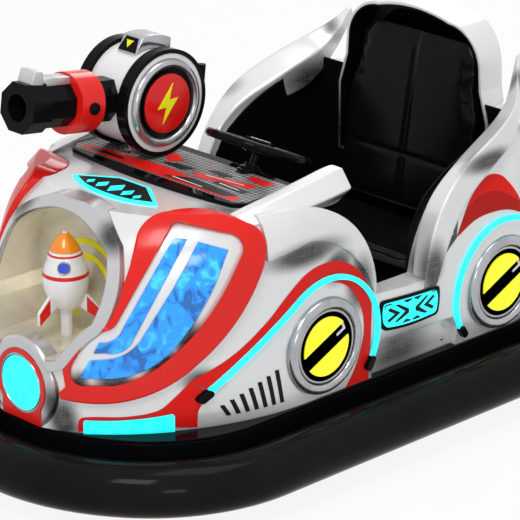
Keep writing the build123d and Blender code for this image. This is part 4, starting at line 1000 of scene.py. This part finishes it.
class BUMPERCAR_OT_flanks(bpy.types.Operator):
    """Lay the red bands and the dark motifs on the flanks"""
    bl_idname = "bumper_car.flanks"
    bl_label = "Flank films"

    def execute(self, context):
        front, tail = Skin("front_body"), Skin("tail_body")
        ink_red = red_ink()
        ink_deep = print_ink("deep red film", [c * 0.62 for c in colours().red])
        ink_black = black_ink()
        upper = drawn([(0.541, 0.362), (0.427, 0.420), (0.329, 0.494), (0.259, 0.560), (0.195, 0.601),
                       (0.119, 0.611),
                       (0.051, 0.594), (-0.005, 0.552), (-0.050, 0.487)], closed=False)
        band = upper + arc(STRIP, STRIP_R, 146, 53.5, 20) + corners((0.494, 0.333))
        inner = drawn([(0.250, 0.530), (0.172, 0.554), (0.106, 0.552), (0.038, 0.518), (-0.007, 0.451),
                       (-0.021, 0.382), (-0.010, 0.319), (0.015, 0.261), (0.045, 0.226)], closed=False)
        crescent = inner + corners((-0.005, 0.226), (-0.045, 0.226), (-0.052, 0.30)) + arc(STRIP, STRIP_R,
                                                                                           186, 58, 28)
        film("flank_band", [band, crescent], SIDE_VIEW, front, "red", ink_red, least=0.3)
        patch = drawn([(-0.425, -0.06, True), (-0.425, 0.006), (-0.412, 0.018), (-0.30, 0.02),
                       (-0.215, 0.036),
                       (-0.17, 0.072), (-0.131, 0.111, True), (-0.085, 0.085, True), (-0.098, 0.055),
                       (-0.110, 0.03), (-0.113, -0.06, True)])
        film("skirt_patch", [patch], CORNER_VIEW, front, "red", ink_red)
        # One row of seven slanted bars, each a little taller than the one before it
        motif = []
        for n in range(7):
            x, top = 0.470 - 0.027 * n, 0.285 + 0.011 * n
            motif.append(corners((x, top), (x - 0.013, top), (x - 0.033, 0.252), (x - 0.020, 0.252)))
        film("flank_motif", motif, SIDE_VIEW, front, "black", ink_black, least=0.3)
        rear = drawn([(-0.372, 0.559, True), (-0.402, 0.611), (-0.442, 0.662), (-0.505, 0.700),
                      (-0.545, 0.700),
                      (-0.580, 0.682), (-0.639, 0.607), (-0.655, 0.560, True), (-0.584, 0.588),
                      (-0.518, 0.596),
                      (-0.450, 0.591)])
        film("tail_band", [rear], SIDE_VIEW, tail, "red", ink_red, least=0.3)
        deep = drawn([(-0.374, 0.561, True), (-0.412, 0.626, True), (-0.479, 0.655), (-0.553, 0.648),
                      (-0.639, 0.600, True), (-0.653, 0.562, True), (-0.584, 0.588), (-0.518, 0.596),
                      (-0.450, 0.591)])
        film("tail_band_deep", [deep], SIDE_VIEW, tail, "red", ink_deep, lift=0.0016, least=0.3)
        # Painted shade: a dark brushed sliver on the tail just under the ribbon's lower edge, where shade falls
        ramp = drawn([(-0.296, 0.470), (-0.335, 0.540), (-0.372, 0.610), (-0.372, 0.559, True),
                      (-0.319, 0.515),
                      (-0.268, 0.455, True)])
        film("ribbon_painted_shade", [ramp], SIDE_VIEW, tail, "silver", dark_brushed(), least=0.3)
        return {"FINISHED"}


class BUMPERCAR_OT_signs(bpy.types.Operator):
    """Fit the lit signs on the sills"""
    bl_idname = "bumper_car.signs"
    bl_label = "Sill signs"

    MIDDLE = (-0.197, 0.396)

    def execute(self, context):
        tail = Skin("tail_body")
        outer = drawn([(-0.088, 0.436), (-0.103, 0.442), (-0.290, 0.438), (-0.304, 0.430), (-0.306, 0.362),
                       (-0.294, 0.350), (-0.112, 0.350), (-0.090, 0.372)], 0.004)
        film("sill_sign_frame", [outer], SIDE_VIEW, tail, "black", black(), lift=0.004, least=0.3,
             edge=0.004)
        x, z = self.MIDDLE
        inner = [Vector(self.MIDDLE) + Vector(((p.x - x) * 0.91, (p.y - z) * 0.80)) for p in outer]
        film("sill_sign", [inner], SIDE_VIEW, tail, "cyan", cyan(), lift=0.0055, least=0.3, edge=0.0015)
        ink = black_ink()
        marks = []
        for side in SIDES:
            def at(u, v):
                return Vector((x + side * u, z + v))
            marks += [
                [at(0.012, 0.004), at(0.050, 0.026), at(0.062, 0.026), at(0.026, 0.0), at(0.062, -0.026),
                 at(0.050, -0.026), at(0.012, -0.008)],
                [at(0.042, 0.0), at(0.080, 0.022), at(0.086, 0.014), at(0.062, 0.0), at(0.086, -0.014),
                 at(0.080, -0.022)],
                [at(0.020, 0.024), at(0.036, 0.034), at(0.004, 0.034), at(0.004, 0.030)],
                [at(0.020, -0.024), at(0.036, -0.034), at(0.004, -0.034), at(0.004, -0.030)],
                [at(0.074, 0.030), at(0.094, 0.030), at(0.096, 0.010), at(0.098, 0.030), at(0.094, 0.034),
                 at(0.074, 0.034)],
            ]
        film("sill_sign_marks", marks, SIDE_VIEW, tail, "black", ink, lift=0.0062, least=0.3)
        return {"FINISHED"}


class BUMPERCAR_OT_deck(bpy.types.Operator):
    """Cover the board, emblem panel and nose bowl with printed films, and detail the ornament"""
    bl_idname = "bumper_car.deck"
    bl_label = "Board and emblem"

    def execute(self, context):
        board = Skin("display_board")
        low, high = box_of("display_board")
        least, half = high.z - 0.003, high.y
        ink_red = red_ink()
        ink_black = black_ink()
        ink_white = print_ink("white film", (0.75, 0.75, 0.76))
        edge = 0.010
        whole = corners((low.x + 0.03, -half + edge), (low.x + 0.03, half - edge),
                        (high.x - 0.058, half - edge),
                        (high.x - 0.034, half - 0.034), (high.x - 0.034, -half + 0.034),
                        (high.x - 0.058, -half + edge))
        film("board_grid", [whole], TOP_VIEW, board, "black", grid_film(), 0.0006, least, both=False)
        x, right = high.x - 0.04, half - 0.04
        reds = [
            corners((x, -right), (x, right), (x - 0.026, right), (x - 0.062, -0.02), (x - 0.040, -right)),
            corners((x - 0.085, 0.06), (x - 0.060, 0.10), (x - 0.095, 0.27), (x - 0.130, 0.27),
                    (x - 0.10, 0.12)),
            corners((x - 0.13, -0.02), (x - 0.09, -0.05), (x - 0.15, -0.11), (x - 0.17, -0.10)),
            corners((x - 0.150, 0.20), (x - 0.136, 0.28), (x - 0.168, 0.30), (x - 0.176, 0.21)),
        ]
        film("board_red", reds, TOP_VIEW, board, "red", ink_red, 0.0011, least, both=False)
        blacks = [
            corners((x - 0.010, 0.02), (x - 0.008, 0.26), (x - 0.034, 0.29), (x - 0.050, 0.10)),
            corners((x - 0.064, 0.16), (x - 0.056, 0.28), (x - 0.078, 0.29), (x - 0.082, 0.17)),
            corners((x - 0.014, -0.28), (x - 0.018, -0.14), (x - 0.030, -0.16), (x - 0.030, -0.28)),
            corners((x - 0.080, -0.06), (x - 0.074, 0.03), (x - 0.106, 0.05), (x - 0.100, -0.02)),
            corners((x - 0.120, 0.08), (x - 0.112, 0.15), (x - 0.134, 0.17), (x - 0.134, 0.10)),
        ]
        film("board_black", blacks, TOP_VIEW, board, "black", ink_black, 0.0016, least, both=False)
        whites = [
            corners((x - 0.016, 0.05), (x - 0.014, 0.17), (x - 0.018, 0.17), (x - 0.021, 0.05)),
            corners((x - 0.068, 0.18), (x - 0.064, 0.26), (x - 0.068, 0.26), (x - 0.073, 0.18)),
            corners((x - 0.086, 0.11), (x - 0.102, 0.24), (x - 0.106, 0.24), (x - 0.092, 0.11)),
        ]
        film("board_white", whites, TOP_VIEW, board, "white", ink_white, 0.0021, least, both=False)
        self.emblem(ink_black)
        self.bowl()
        self.rocket()
        return {"FINISHED"}

    def emblem(self, ink):
        """Row of plain diamonds on the lit panel before the board, the largest in the middle."""
        panel = Skin("emblem_panel")
        low, high = box_of("emblem_panel")
        least = high.z - 0.002
        middle = Vector(((low.x + high.x) / 2 + 0.008, 0))
        field = drawn([(0.403, -0.052, True), (0.403, 0.052, True), (0.468, 0.150, True), (0.496, 0.082),
                       (0.505, 0.0), (0.496, -0.082), (0.468, -0.150, True)])
        film("emblem_field", [field], TOP_VIEW, panel, "black", ink, 0.0008, least, both=False)
        diamonds = []
        for y, along, aside in ((0.0, 0.034, 0.022), (0.050, 0.026, 0.017), (-0.050, 0.026, 0.017),
                                (0.092, 0.017, 0.012), (-0.092, 0.017, 0.012)):
            x = middle.x + 0.1 * abs(y)
            diamonds.append(corners((x - along, y), (x, y + aside), (x + along, y), (x, y - aside)))
        film("emblem_diamonds", diamonds, TOP_VIEW, panel, "cyan", cyan(), 0.0014, least, both=False)

    def bowl(self):
        """Curved yellow stripes on the back of the nose bowl."""
        bowl = Skin("nose_bowl")
        shade = print_ink("yellow film", colours().yellow)
        stripes = []
        for radius in (0.075, 0.118):
            stripes.append(stroke(arc((0.0, 0.545), radius, 20, 160, 24), 0.016))
            stripes.append(stroke(arc((0.0, 0.545), radius, 200, 245, 10), 0.016))
            stripes.append(stroke(arc((0.0, 0.545), radius, -65, -20, 10), 0.016))
        film("bowl_stripes", stripes, FRONT_VIEW, bowl, "yellow", shade, 0.0008, both=False)

    def rocket(self):
        """Painted nose, bands, window and fins of the ornament."""
        body = Skin("rocket_ornament")
        _, high = box_of("rocket_ornament")
        x = 0.648

        def wrap(bm, start, end, proud=0.0008, steps=10):
            outline = []
            for n in range(steps + 1):
                z = start + (end - start) * n / steps
                place, _ = body.hit(Vector((x, 2, z)), Vector((0, -1, 0)))
                outline.append((place.y + proud, z))
            turned(bm, [(outline[0][0] - 0.003, start)] + outline + [(outline[-1][0] - 0.003, end)],
                   Matrix.Translation((x, 0, 0)))

        tip, bands, window, glass, fins = (bmesh.new() for _ in range(5))
        wrap(tip, high.z - 0.050, high.z - 0.003)
        wrap(bands, 0.596, 0.606)
        wrap(bands, 0.654, 0.659)
        place, normal = body.hit(Vector((x + 1, 1, 0.630)), Vector((-1, -1, 0)).normalized())
        frame = frame_at(place, normal)
        turned(window, [(0.018, -0.004), (0.018, 0.003), (0.0155, 0.0045), (0.013, 0.003), (0.013, -0.004)],
               frame, 32)
        turned(glass, rounded(0.0132, -0.003, 0.0025, 0.002), frame, 32)
        for turn in (0, 120, 240):
            way = Vector((cos(radians(turn)), sin(radians(turn)), 0))
            for side in SIDES:
                out = way.cross(Vector((0, 0, 1))) * side
                frame = frame_at(Vector((x, 0, 0)), out)
                ahead = -1 if (frame.to_3x3() @ Vector((1, 0, 0))).dot(way) < 0 else 1
                line = corners((ahead * 0.060, 0.540), (ahead * 0.097, 0.506), (ahead * 0.097, 0.473),
                               (ahead * 0.060, 0.496))
                plate(fins, line, frame, 0.0045, 0.006, 0.0005)
        piece("rocket_tip", tip, "car", gloss("gloss orange", (0.95, 0.28, 0.0), 0.15), 60)
        piece("rocket_bands", bands, "car", red(), 60)
        piece("rocket_window", window, "car", chrome(), 60)
        piece("rocket_glass", glass, "car", gloss("gloss blue", (0.01, 0.06, 0.75), 0.1), 60)
        piece("rocket_fins", fins, "car", red(), 30)


def lamp_frames():
    """Frame of each side lamp's dark face, with its z axis along the lamp's axis."""
    faces = NODES["hub_faces"].data.vertices
    frames = []
    for side in SIDES:
        for x in (LAMP[0], REAR_LAMP_X):
            face = max(vert.co.y * side for vert in faces if abs(vert.co.x - x) < 0.2
                       and vert.co.y * side > 0)
            frames.append((side, frame_at(Vector((x, side * face, LAMP[1])), (0, side, 0))))
    return frames


class BUMPERCAR_OT_lamps(bpy.types.Operator):
    """Detail the side lamps and the nose lamp"""
    bl_idname = "bumper_car.lamps"
    bl_label = "Lamp details"

    TILT = radians(-20)         # the bars lie lower than the solids' 45 degrees

    def execute(self, context):
        for node, slot, finish in (("hub_faces", "black", dark_brushed()),
                                   ("hub_segments", "yellow", lit_yellow())):
            bm = bmesh.new()
            bm.from_mesh(NODES[node].data)
            for vert in bm.verts:
                x = LAMP[0] if vert.co.x > (LAMP[0] + REAR_LAMP_X) / 2 else REAR_LAMP_X
                middle = Vector((x, 0, LAMP[1]))
                vert.co = middle + Matrix.Rotation(self.TILT, 3, "Y") @ (vert.co - middle)
            bmesh.ops.remove_doubles(bm, verts=bm.verts, dist=1e-5)
            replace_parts(piece(f"{node}_tilted", bm, "car", finish, 30), node)
        bands, seals = bmesh.new(), bmesh.new()
        for side, frame in lamp_frames():
            tilted = frame @ Matrix.Rotation(self.TILT * side, 4, "Z")
            # A white plate at the bar's upper end, a painted highlight standing in for light on the bar's bevelled
            # end, and a raised line round the dark face
            ahead = -side
            highlight_plate = corners((ahead * -0.058, 0.056), (ahead * -0.036, 0.078), (ahead * -0.030, 0.073),
                           (ahead * -0.047, 0.056), (ahead * -0.028, 0.036), (ahead * -0.033, 0.031))
            plate(bands, highlight_plate if side < 0 else highlight_plate[::-1], tilted, 0.0, 0.002, 0.0003)
            turned(seals, [(0.1045, 0.0), (0.1045, 0.0025), (0.1015, 0.0035), (0.0985, 0.0025),
                           (0.0985, 0.0)], frame)
        # The white plates are painted highlights on the ends of the lamp bars
        piece("lamp_painted_highlights", bands, "car", white(), 30)
        piece("lamp_seals", seals, "car", chrome(), 60)
        low, high = box_of("nose_lamp_lens")
        frame = frame_at(Vector((high.x, 0, (low.z + high.z) / 2)), (1, 0, 0))
        bm = bmesh.new()
        turned(bm, [(0.0805, -0.002), (0.0805, 0.0015), (0.078, 0.003), (0.0755, 0.0015), (0.0755, -0.002)],
               frame)
        piece("nose_lamp_bead", bm, "car", chrome(), 60)
        return {"FINISHED"}


class BUMPERCAR_OT_steering(bpy.types.Operator):
    """Finish the steering wheel with its hub cap, spoke covers, grip seams and column boot"""
    bl_idname = "bumper_car.steering"
    bl_label = "Steering wheel"

    def execute(self, context):
        joint = JOINTS["steering_wheel_turn"]
        frame = frame_at(Vector(joint["pos_m"]), joint["axis"], Vector((-1, 0, 0)))
        cap, badge, dots, seams, boot = (bmesh.new() for _ in range(5))
        turned(cap, [(0.040, -0.016), *rounded(0.040, -0.010, 0.014, 0.006)], frame)
        plate(cap, corners((-0.026, -0.034), (0.026, -0.034), (0.034, -0.020), (0.034, 0.020),
                           (0.026, 0.034),
                           (-0.026, 0.034), (-0.034, 0.020), (-0.034, -0.020)), frame, 0.012, 0.020, 0.002)
        plate(badge, corners((-0.017, -0.024), (0.017, -0.024), (0.017, 0.024), (-0.017, 0.024)), frame,
              0.019,
              0.0215, 0.001)
        for turn in (90, 210, 330):
            way = Vector((cos(radians(turn)), sin(radians(turn))))
            aside = Vector((-way.y, way.x))
            line = [way * 0.036 + aside * 0.015, way * 0.118 + aside * 0.008, way * 0.118 - aside * 0.008,
                    way * 0.036 - aside * 0.015]
            plate(cap, line[::-1], frame, 0.002, 0.010, 0.002)
            for reach in (0.056, 0.070):
                spot = frame @ Matrix.Translation((way.x * reach, way.y * reach, 0.0095))
                turned(dots, rounded(0.0035, 0.0, 0.0015, 0.0008), spot, 16)
        for n in range(12):
            turn = 2 * pi * (n + 0.5) / 12
            spot = Vector((cos(turn), sin(turn), 0))
            ring = [frame @ (spot * 0.138 + (spot * cos(a) + Vector((0, 0, 1)) * sin(a)) * 0.0122)
                    for a in [2 * pi * k / 16 for k in range(16)]]
            pipe(seams, ring, 0.0008, 6, closed=True)
        foot = frame @ Matrix.Translation((0, 0, -0.078))
        turned(boot, [(0.046, -0.012), (0.046, -0.004), (0.038, 0.002), (0.040, 0.007), (0.032, 0.012),
                      (0.034, 0.017), (0.0235, 0.024)], foot)
        piece("wheel_cap", cap, "steering_wheel", black(), 35)
        piece("wheel_badge", badge, "steering_wheel", silver_film(), 35)
        piece("wheel_dots", dots, "steering_wheel", red(), 35)
        piece("wheel_seams", seams, "steering_wheel", vinyl(), 60)
        piece("column_boot", boot, "car", rubber(), 50)
        return {"FINISHED"}


class BUMPERCAR_OT_cannon(bpy.types.Operator):
    """Detail the toy cannon: bright rings, discs, bolts and signs"""
    bl_idname = "bumper_car.cannon"
    bl_label = "Cannon details"

    # Plain lightning bolt, the same when turned half round
    BOLT = ((-0.020, 0.056), (0.038, -0.010), (0.006, -0.010), (0.020, -0.056), (-0.038, 0.010),
            (-0.006, 0.010))

    def execute(self, context):
        low, high = box_of("gun_discs")
        middle = (low + high) / 2
        rings, discs, bolts = (bmesh.new() for _ in range(3))
        for side in SIDES:
            frame = frame_at(Vector((middle.x, high.y if side > 0 else low.y, middle.z)), (0, side, 0))
            crown = [(0.123, -0.012)] + [(0.111 + 0.0125 * cos(pi * n / 10),
                                          -0.007 + 0.013 * sin(pi * n / 10))
                                         for n in range(11)] + [(0.098, -0.012)]
            turned(rings, crown, frame)
            turned(discs, rounded(0.083, -0.002, 0.003, 0.002), frame)
            line = [Vector((-u * side, v)) for u, v in self.BOLT]
            plate(bolts, line if side < 0 else line[::-1], frame, 0.0025, 0.0045, 0.0005)
        piece("drum_rings", rings, "cannon", chrome(), 60)
        piece("drum_discs", discs, "cannon", red(), 30)
        piece("drum_bolts", bolts, "cannon", yellow(), 30)
        self.sleeve()
        self.sight()
        self.post()
        return {"FINISHED"}

    def sleeve(self):
        """Round-headed screws in the sides of the red sleeve."""
        low, high = box_of("gun_sleeve")
        middle = (low + high) / 2
        screws = bmesh.new()
        for side in SIDES:
            out = Vector((0, side, 0))
            frame = frame_at(middle + out * (high.y - low.y) / 2, out)
            turned(screws, [(0.0175, -0.006), *rounded(0.0175, -0.004, 0.006, 0.003)], frame, 32)
            turned(screws, rounded(0.008, 0.004, 0.0085, 0.0015), frame, 6)
        piece("sleeve_screws", screws, "cannon", black(), 40)

    def drum_frame(self):
        """Frame of the barrel: x along it, y to the car's left, z up, from the drum's middle."""
        low, high = box_of("gun_drum")
        return Matrix.Translation((low + high) / 2) @ Matrix.Rotation(-radians(8), 4, "Y")

    def block(self, bm, line, half, frame, bevel=0.003):
        """Bevelled block of an outline (along, up), half as wide to each side."""
        rows = [[bm.verts.new(frame @ Vector((point.x, side * half,
                                              point.y))) for point in line] for side in SIDES]
        faces = [bm.faces.new(rows[0]), bm.faces.new(rows[1][::-1])]
        for n in range(len(line)):
            m = (n + 1) % len(line)
            faces.append(bm.faces.new([rows[0][n], rows[1][n], rows[1][m], rows[0][m]]))
        bmesh.ops.recalc_face_normals(bm, faces=faces)
        sharp = [edge for face in faces for edge in face.edges if edge.calc_face_angle(0) > 0.4]
        bmesh.ops.bevel(bm, geom=list(set(sharp)), offset=bevel, segments=3, profile=0.5, affect="EDGES")

    def sight(self):
        """Arched cover over the drum, its black sign with a yellow triangle, and the rail with the front sight."""
        frame = self.drum_frame()
        cover, rail, wedge, sign = (bmesh.new() for _ in range(4))
        top = arc((0, 0), 0.176, 110, 75, 12)
        foot = arc((0, 0), 0.1392, 61, 116, 12)
        self.block(cover, top + foot, 0.038, frame)
        front = Vector((0.0565, 0, 0.1465))
        ahead, up = Vector((0.88, 0, 0.47)), Vector((-0.47, 0, 0.88))
        slope = frame @ frame_at(front, ahead, up)
        plate(wedge, corners((-0.033, -0.022), (0.033, -0.022), (0.024, 0.021), (-0.024, 0.021)), slope,
              -0.004,
              0.004, 0.002)
        plate(sign, corners((0.014, 0.010), (-0.014, 0.010), (0.0, -0.012)), slope, 0.003, 0.0055, 0.0006)
        self.block(rail, corners((0.284, 0.056), (0.284, 0.079), (0.392, 0.079), (0.392, 0.056)), 0.023,
                   frame)
        self.block(rail, corners((0.384, 0.060), (0.390, 0.100), (0.418, 0.103), (0.428, 0.066)), 0.030,
                   frame)
        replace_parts(piece("drum_cover", cover, "cannon", chrome(), 30), "gun_sight")
        piece("top_rail", rail, "cannon", metal("brushed rail", (0.62, 0.62, 0.62), 0.3, 0.6), 30)
        piece("sight_wedge", wedge, "cannon", black(), 30)
        piece("sight_sign", sign, "cannon", yellow(), 30)

    def post(self):
        """Flange on the board round the cannon's post."""
        joint = JOINTS["cannon_swivel"]
        _, high = box_of("display_board")
        frame = frame_at(Vector((joint["pos_m"][0], joint["pos_m"][1], high.z)), (0, 0, 1),
                         Vector((1, 0, 0)))
        flange, screws = bmesh.new(), bmesh.new()
        turned(flange, [(0.0215, -0.002), (0.0215, 0.010), (0.030, 0.010), (0.034, 0.006), (0.052, 0.005),
                        (0.054, 0.003), (0.054, -0.001)], frame)
        for n in range(6):
            turn = pi / 3 * n
            spot = frame @ Matrix.Translation((0.044 * cos(turn), 0.044 * sin(turn), 0.005))
            turned(screws, rounded(0.0032, -0.001, 0.002, 0.001), spot, 12)
        piece("post_flange", flange, "car", chrome(), 40)
        piece("post_screws", screws, "car", black(), 40)


class BUMPERCAR_OT_fittings(bpy.types.Operator):
    """Add the tyre ribs, wheel nuts, screws, rear lamps and charging hatch"""
    bl_idname = "bumper_car.fittings"
    bl_label = "Fittings"

    def execute(self, context):
        self.treads()
        self.nuts()
        self.screws()
        self.tail()
        return {"FINISHED"}

    def wheels(self):
        """Tyre node, body that it rides on, middle, radius and half-width."""
        for node, body in (("rear_tyre_left", "rear_wheel_left"), ("rear_tyre_right", "rear_wheel_right"),
                           ("drive_tyre", "drive_wheel")):
            low, high = box_of(node)
            yield node, body, (low + high) / 2, (high.z - low.z) / 2, (high.y - low.y) / 2

    def treads(self):
        """Raised ribs round each tyre."""
        for node, body, middle, radius, half in self.wheels():
            bm = bmesh.new()
            for offset in (-0.5, 0.0, 0.5):
                frame = frame_at(middle + Vector((0, offset * half, 0)), (0, 1, 0))
                turned(bm, [(radius - 0.002, -0.002), (radius - 0.0001, -0.0012), (radius - 0.0001, 0.0012),
                            (radius - 0.002, 0.002)], frame, 96)
            piece(f"{node}_ribs", bm, body, tyre_rubber(), 40)

    def nuts(self):
        """Nuts on both sides of each wheel."""
        for node, body, middle, _, half in self.wheels():
            bm = bmesh.new()
            for side in SIDES:
                for n in range(5):
                    turn = 2 * pi * n / 5
                    place = middle + Vector((cos(turn) * 0.030, side * (half - 0.012), sin(turn) * 0.030))
                    turned(bm, rounded(0.0055, -0.002, 0.006, 0.001), frame_at(place, (0, side, 0)), 6)
            piece(f"{node}_nuts", bm, body, cast_hub(), 30)

    def screws(self):
        """Dome-headed screws along the foot of the tail."""
        tail = Skin("tail_body")
        bm = bmesh.new()
        for y in (-0.30, -0.20, -0.07, 0.07, 0.20, 0.30):
            place, normal = tail.hit(Vector((-2, y, 0.25)), Vector((1, 0, 0)))
            turned(bm, rounded(0.006, -0.002, 0.003, 0.0025), frame_at(place, normal), 20)
        for side in SIDES:
            for x in (-0.76, -0.36):
                place, normal = tail.hit(Vector((x, side * 2, 0.25)), Vector((0, -side, 0)))
                turned(bm, rounded(0.006, -0.002, 0.003, 0.0025), frame_at(place, normal), 20)
        piece("tail_screws", bm, "car", chrome(), 40)

    def tail(self):
        """Rear reflectors, a hatch for the charging socket, and its lock."""
        tail = Skin("tail_body")
        shape = drawn([(0.19, 0.42), (0.23, 0.45), (0.33, 0.47), (0.36, 0.44), (0.33, 0.40), (0.23, 0.39)],
                      0.006)
        film("tail_lamp_frames", [shape], REAR_VIEW, tail, "black", black(), lift=0.004, edge=0.004)
        middle = Vector((0.275, 0.43))
        inner = [middle + (point - middle) * 0.84 for point in shape]
        film("tail_lamps", [inner], REAR_VIEW, tail, "red", red(), lift=0.006, edge=0.002)
        hatch = drawn([(-0.10, 0.30), (-0.09, 0.40), (0.0, 0.41), (0.09, 0.40), (0.10, 0.30), (0.0, 0.29)],
                      0.008)
        film("tail_hatch", [hatch], REAR_VIEW, tail, "black", black(), lift=0.003, edge=0.003, both=False)
        bm = bmesh.new()
        place, normal = tail.hit(Vector((-2, 0, 0.33)), Vector((1, 0, 0)))
        turned(bm, rounded(0.012, -0.002, 0.004, 0.002), frame_at(place + normal * 0.003, normal), 32)
        turned(bm, rounded(0.005, 0.003, 0.0055, 0.001), frame_at(place + normal * 0.003, normal), 24)
        piece("hatch_lock", bm, "car", chrome(), 40)


class BUMPERCAR_OT_stage(bpy.types.Operator):
    """Set up the floor, the backdrop, the lamps and the camera"""
    bl_idname = "bumper_car.stage"
    bl_label = "Stage"

    AIM = (0.194, 0.2747, 0.5885)       # what the camera looks at
    LAMPS_AIM = (0, 0, 0.4)
    # name, place, size and power of each soft lamp
    LAMPS = (
        ("key", (3.5, 2.0, 5.0), 1.8, 120.0),
        ("fill", (4.5, 6.5, 2.2), 1.5, 50.0),
        ("rim", (-4.5, -3.0, 4.0), 2.0, 55.0),
        ("top", (-0.5, 1.0, 5.5), 2.5, 62.0),
    )

    def execute(self, context):
        self.floor(context)
        self.world(context)
        for name, place, size, power in self.LAMPS:
            lamp = bpy.data.lights.new(name, "AREA")
            lamp.size, lamp.energy = size, power
            obj = link(bpy.data.objects.new(f"lamp {name}", lamp))
            obj.location = place
            obj.rotation_euler = (Vector(self.LAMPS_AIM) - Vector(place)).to_track_quat("-Z",
                                                                                        "Y").to_euler()
        self.camera(context)
        context.scene.view_settings.view_transform = "Standard"
        return {"FINISHED"}

    def floor(self, context):
        half = context.scene.bumper_car_stage.floor / 2
        mesh = bpy.data.meshes.new("floor")
        mesh.from_pydata([(-half, -half, 0), (half, -half, 0), (half, half, 0), (-half, half, 0)], [],
                         [(0, 1, 2, 3)])
        obj = link(bpy.data.objects.new("floor", mesh))
        made, s = material("studio floor")
        if s:
            speck = s.noise(s.place(), 60.0, 2.0)
            cloth = s.add("ShaderNodeBsdfPrincipled", Base_Color=s.mix(speck, rgba(0.80), rgba(0.84)),
                          Roughness=0.6)
            white = s.add("ShaderNodeEmission", Color=rgba(1.0), Strength=1.0)
            mixed = s.add("ShaderNodeMixShader", _0=s.math("MULTIPLY", self.looked_at(s), 0.9),
                          _1=cloth.outputs[0], _2=white.outputs[0])
            s.tree.links.new(mixed.outputs[0], s.add("ShaderNodeOutputMaterial").inputs[0])
        mesh.materials.append(made)

    def looked_at(self, s):
        """1 for what the camera sees, directly or in gloss or glass."""
        path = s.add("ShaderNodeLightPath").outputs
        mirrored = s.math("MAXIMUM", path["Is Glossy Ray"], path["Is Transmission Ray"])
        return s.math("MAXIMUM", path["Is Camera Ray"], mirrored)

    def world(self, context):
        world = bpy.data.worlds.new("studio")
        context.scene.world = world
        world.use_nodes = True
        s = Shader(world.node_tree)
        around = s.add("ShaderNodeBackground", Color=rgba(1.0), Strength=0.5)
        backdrop = s.add("ShaderNodeBackground", Color=rgba(1.0), Strength=1.0)
        mixed = s.add("ShaderNodeMixShader", _0=self.looked_at(s), _1=around.outputs[0],
                      _2=backdrop.outputs[0])
        out = s.add("ShaderNodeOutputWorld")
        world.node_tree.links.new(mixed.outputs[0], out.inputs[0])

    def camera(self, context):
        stage = context.scene.bumper_car_stage
        aim = Vector(self.AIM)
        away = Vector((cos(stage.elevation) * cos(stage.azimuth), cos(stage.elevation) * sin(stage.azimuth),
                       sin(stage.elevation)))
        data = bpy.data.cameras.new("camera")
        data.lens, data.sensor_width = stage.lens, 36
        data.clip_end = 100
        obj = link(bpy.data.objects.new("camera", data))
        obj.location = aim + away * stage.distance
        obj.rotation_euler = (-away).to_track_quat("-Z", "Y").to_euler()
        context.scene.camera = obj


class BUMPERCAR_PT_panel(bpy.types.Panel):
    """Lists the car's groups of pieces"""
    bl_label = "Bumper Car"
    bl_space_type = "VIEW_3D"
    bl_region_type = "UI"
    bl_category = "Bumper Car"

    def draw(self, context):
        for operator in OPERATORS:
            self.layout.operator(operator.bl_idname)
        for settings in (context.scene.bumper_car_colours, context.scene.bumper_car_stage):
            for name in settings.bl_rna.properties.keys():
                if name not in ("rna_type", "name"):
                    self.layout.prop(settings, name)


OPERATORS = (BUMPERCAR_OT_finishes, BUMPERCAR_OT_seat, BUMPERCAR_OT_ribbons, BUMPERCAR_OT_flanks,
             BUMPERCAR_OT_signs, BUMPERCAR_OT_deck, BUMPERCAR_OT_lamps, BUMPERCAR_OT_steering,
             BUMPERCAR_OT_cannon,
             BUMPERCAR_OT_fittings, BUMPERCAR_OT_stage)
SETTINGS = {"bumper_car_colours": BumperCarColours, "bumper_car_stage": BumperCarStage}


def register():
    for cls in (*SETTINGS.values(), *OPERATORS, BUMPERCAR_PT_panel):
        bpy.utils.register_class(cls)
    for name, cls in SETTINGS.items():
        setattr(bpy.types.Scene, name, PointerProperty(type=cls))


def unregister():
    for name in SETTINGS:
        delattr(bpy.types.Scene, name)
    for cls in reversed((*SETTINGS.values(), *OPERATORS, BUMPERCAR_PT_panel)):
        bpy.utils.unregister_class(cls)


def main():
    register()
    for operator in OPERATORS:
        group, name = operator.bl_idname.split(".")
        getattr(getattr(bpy.ops, group), name)()


if __name__ == "__main__":
    main()
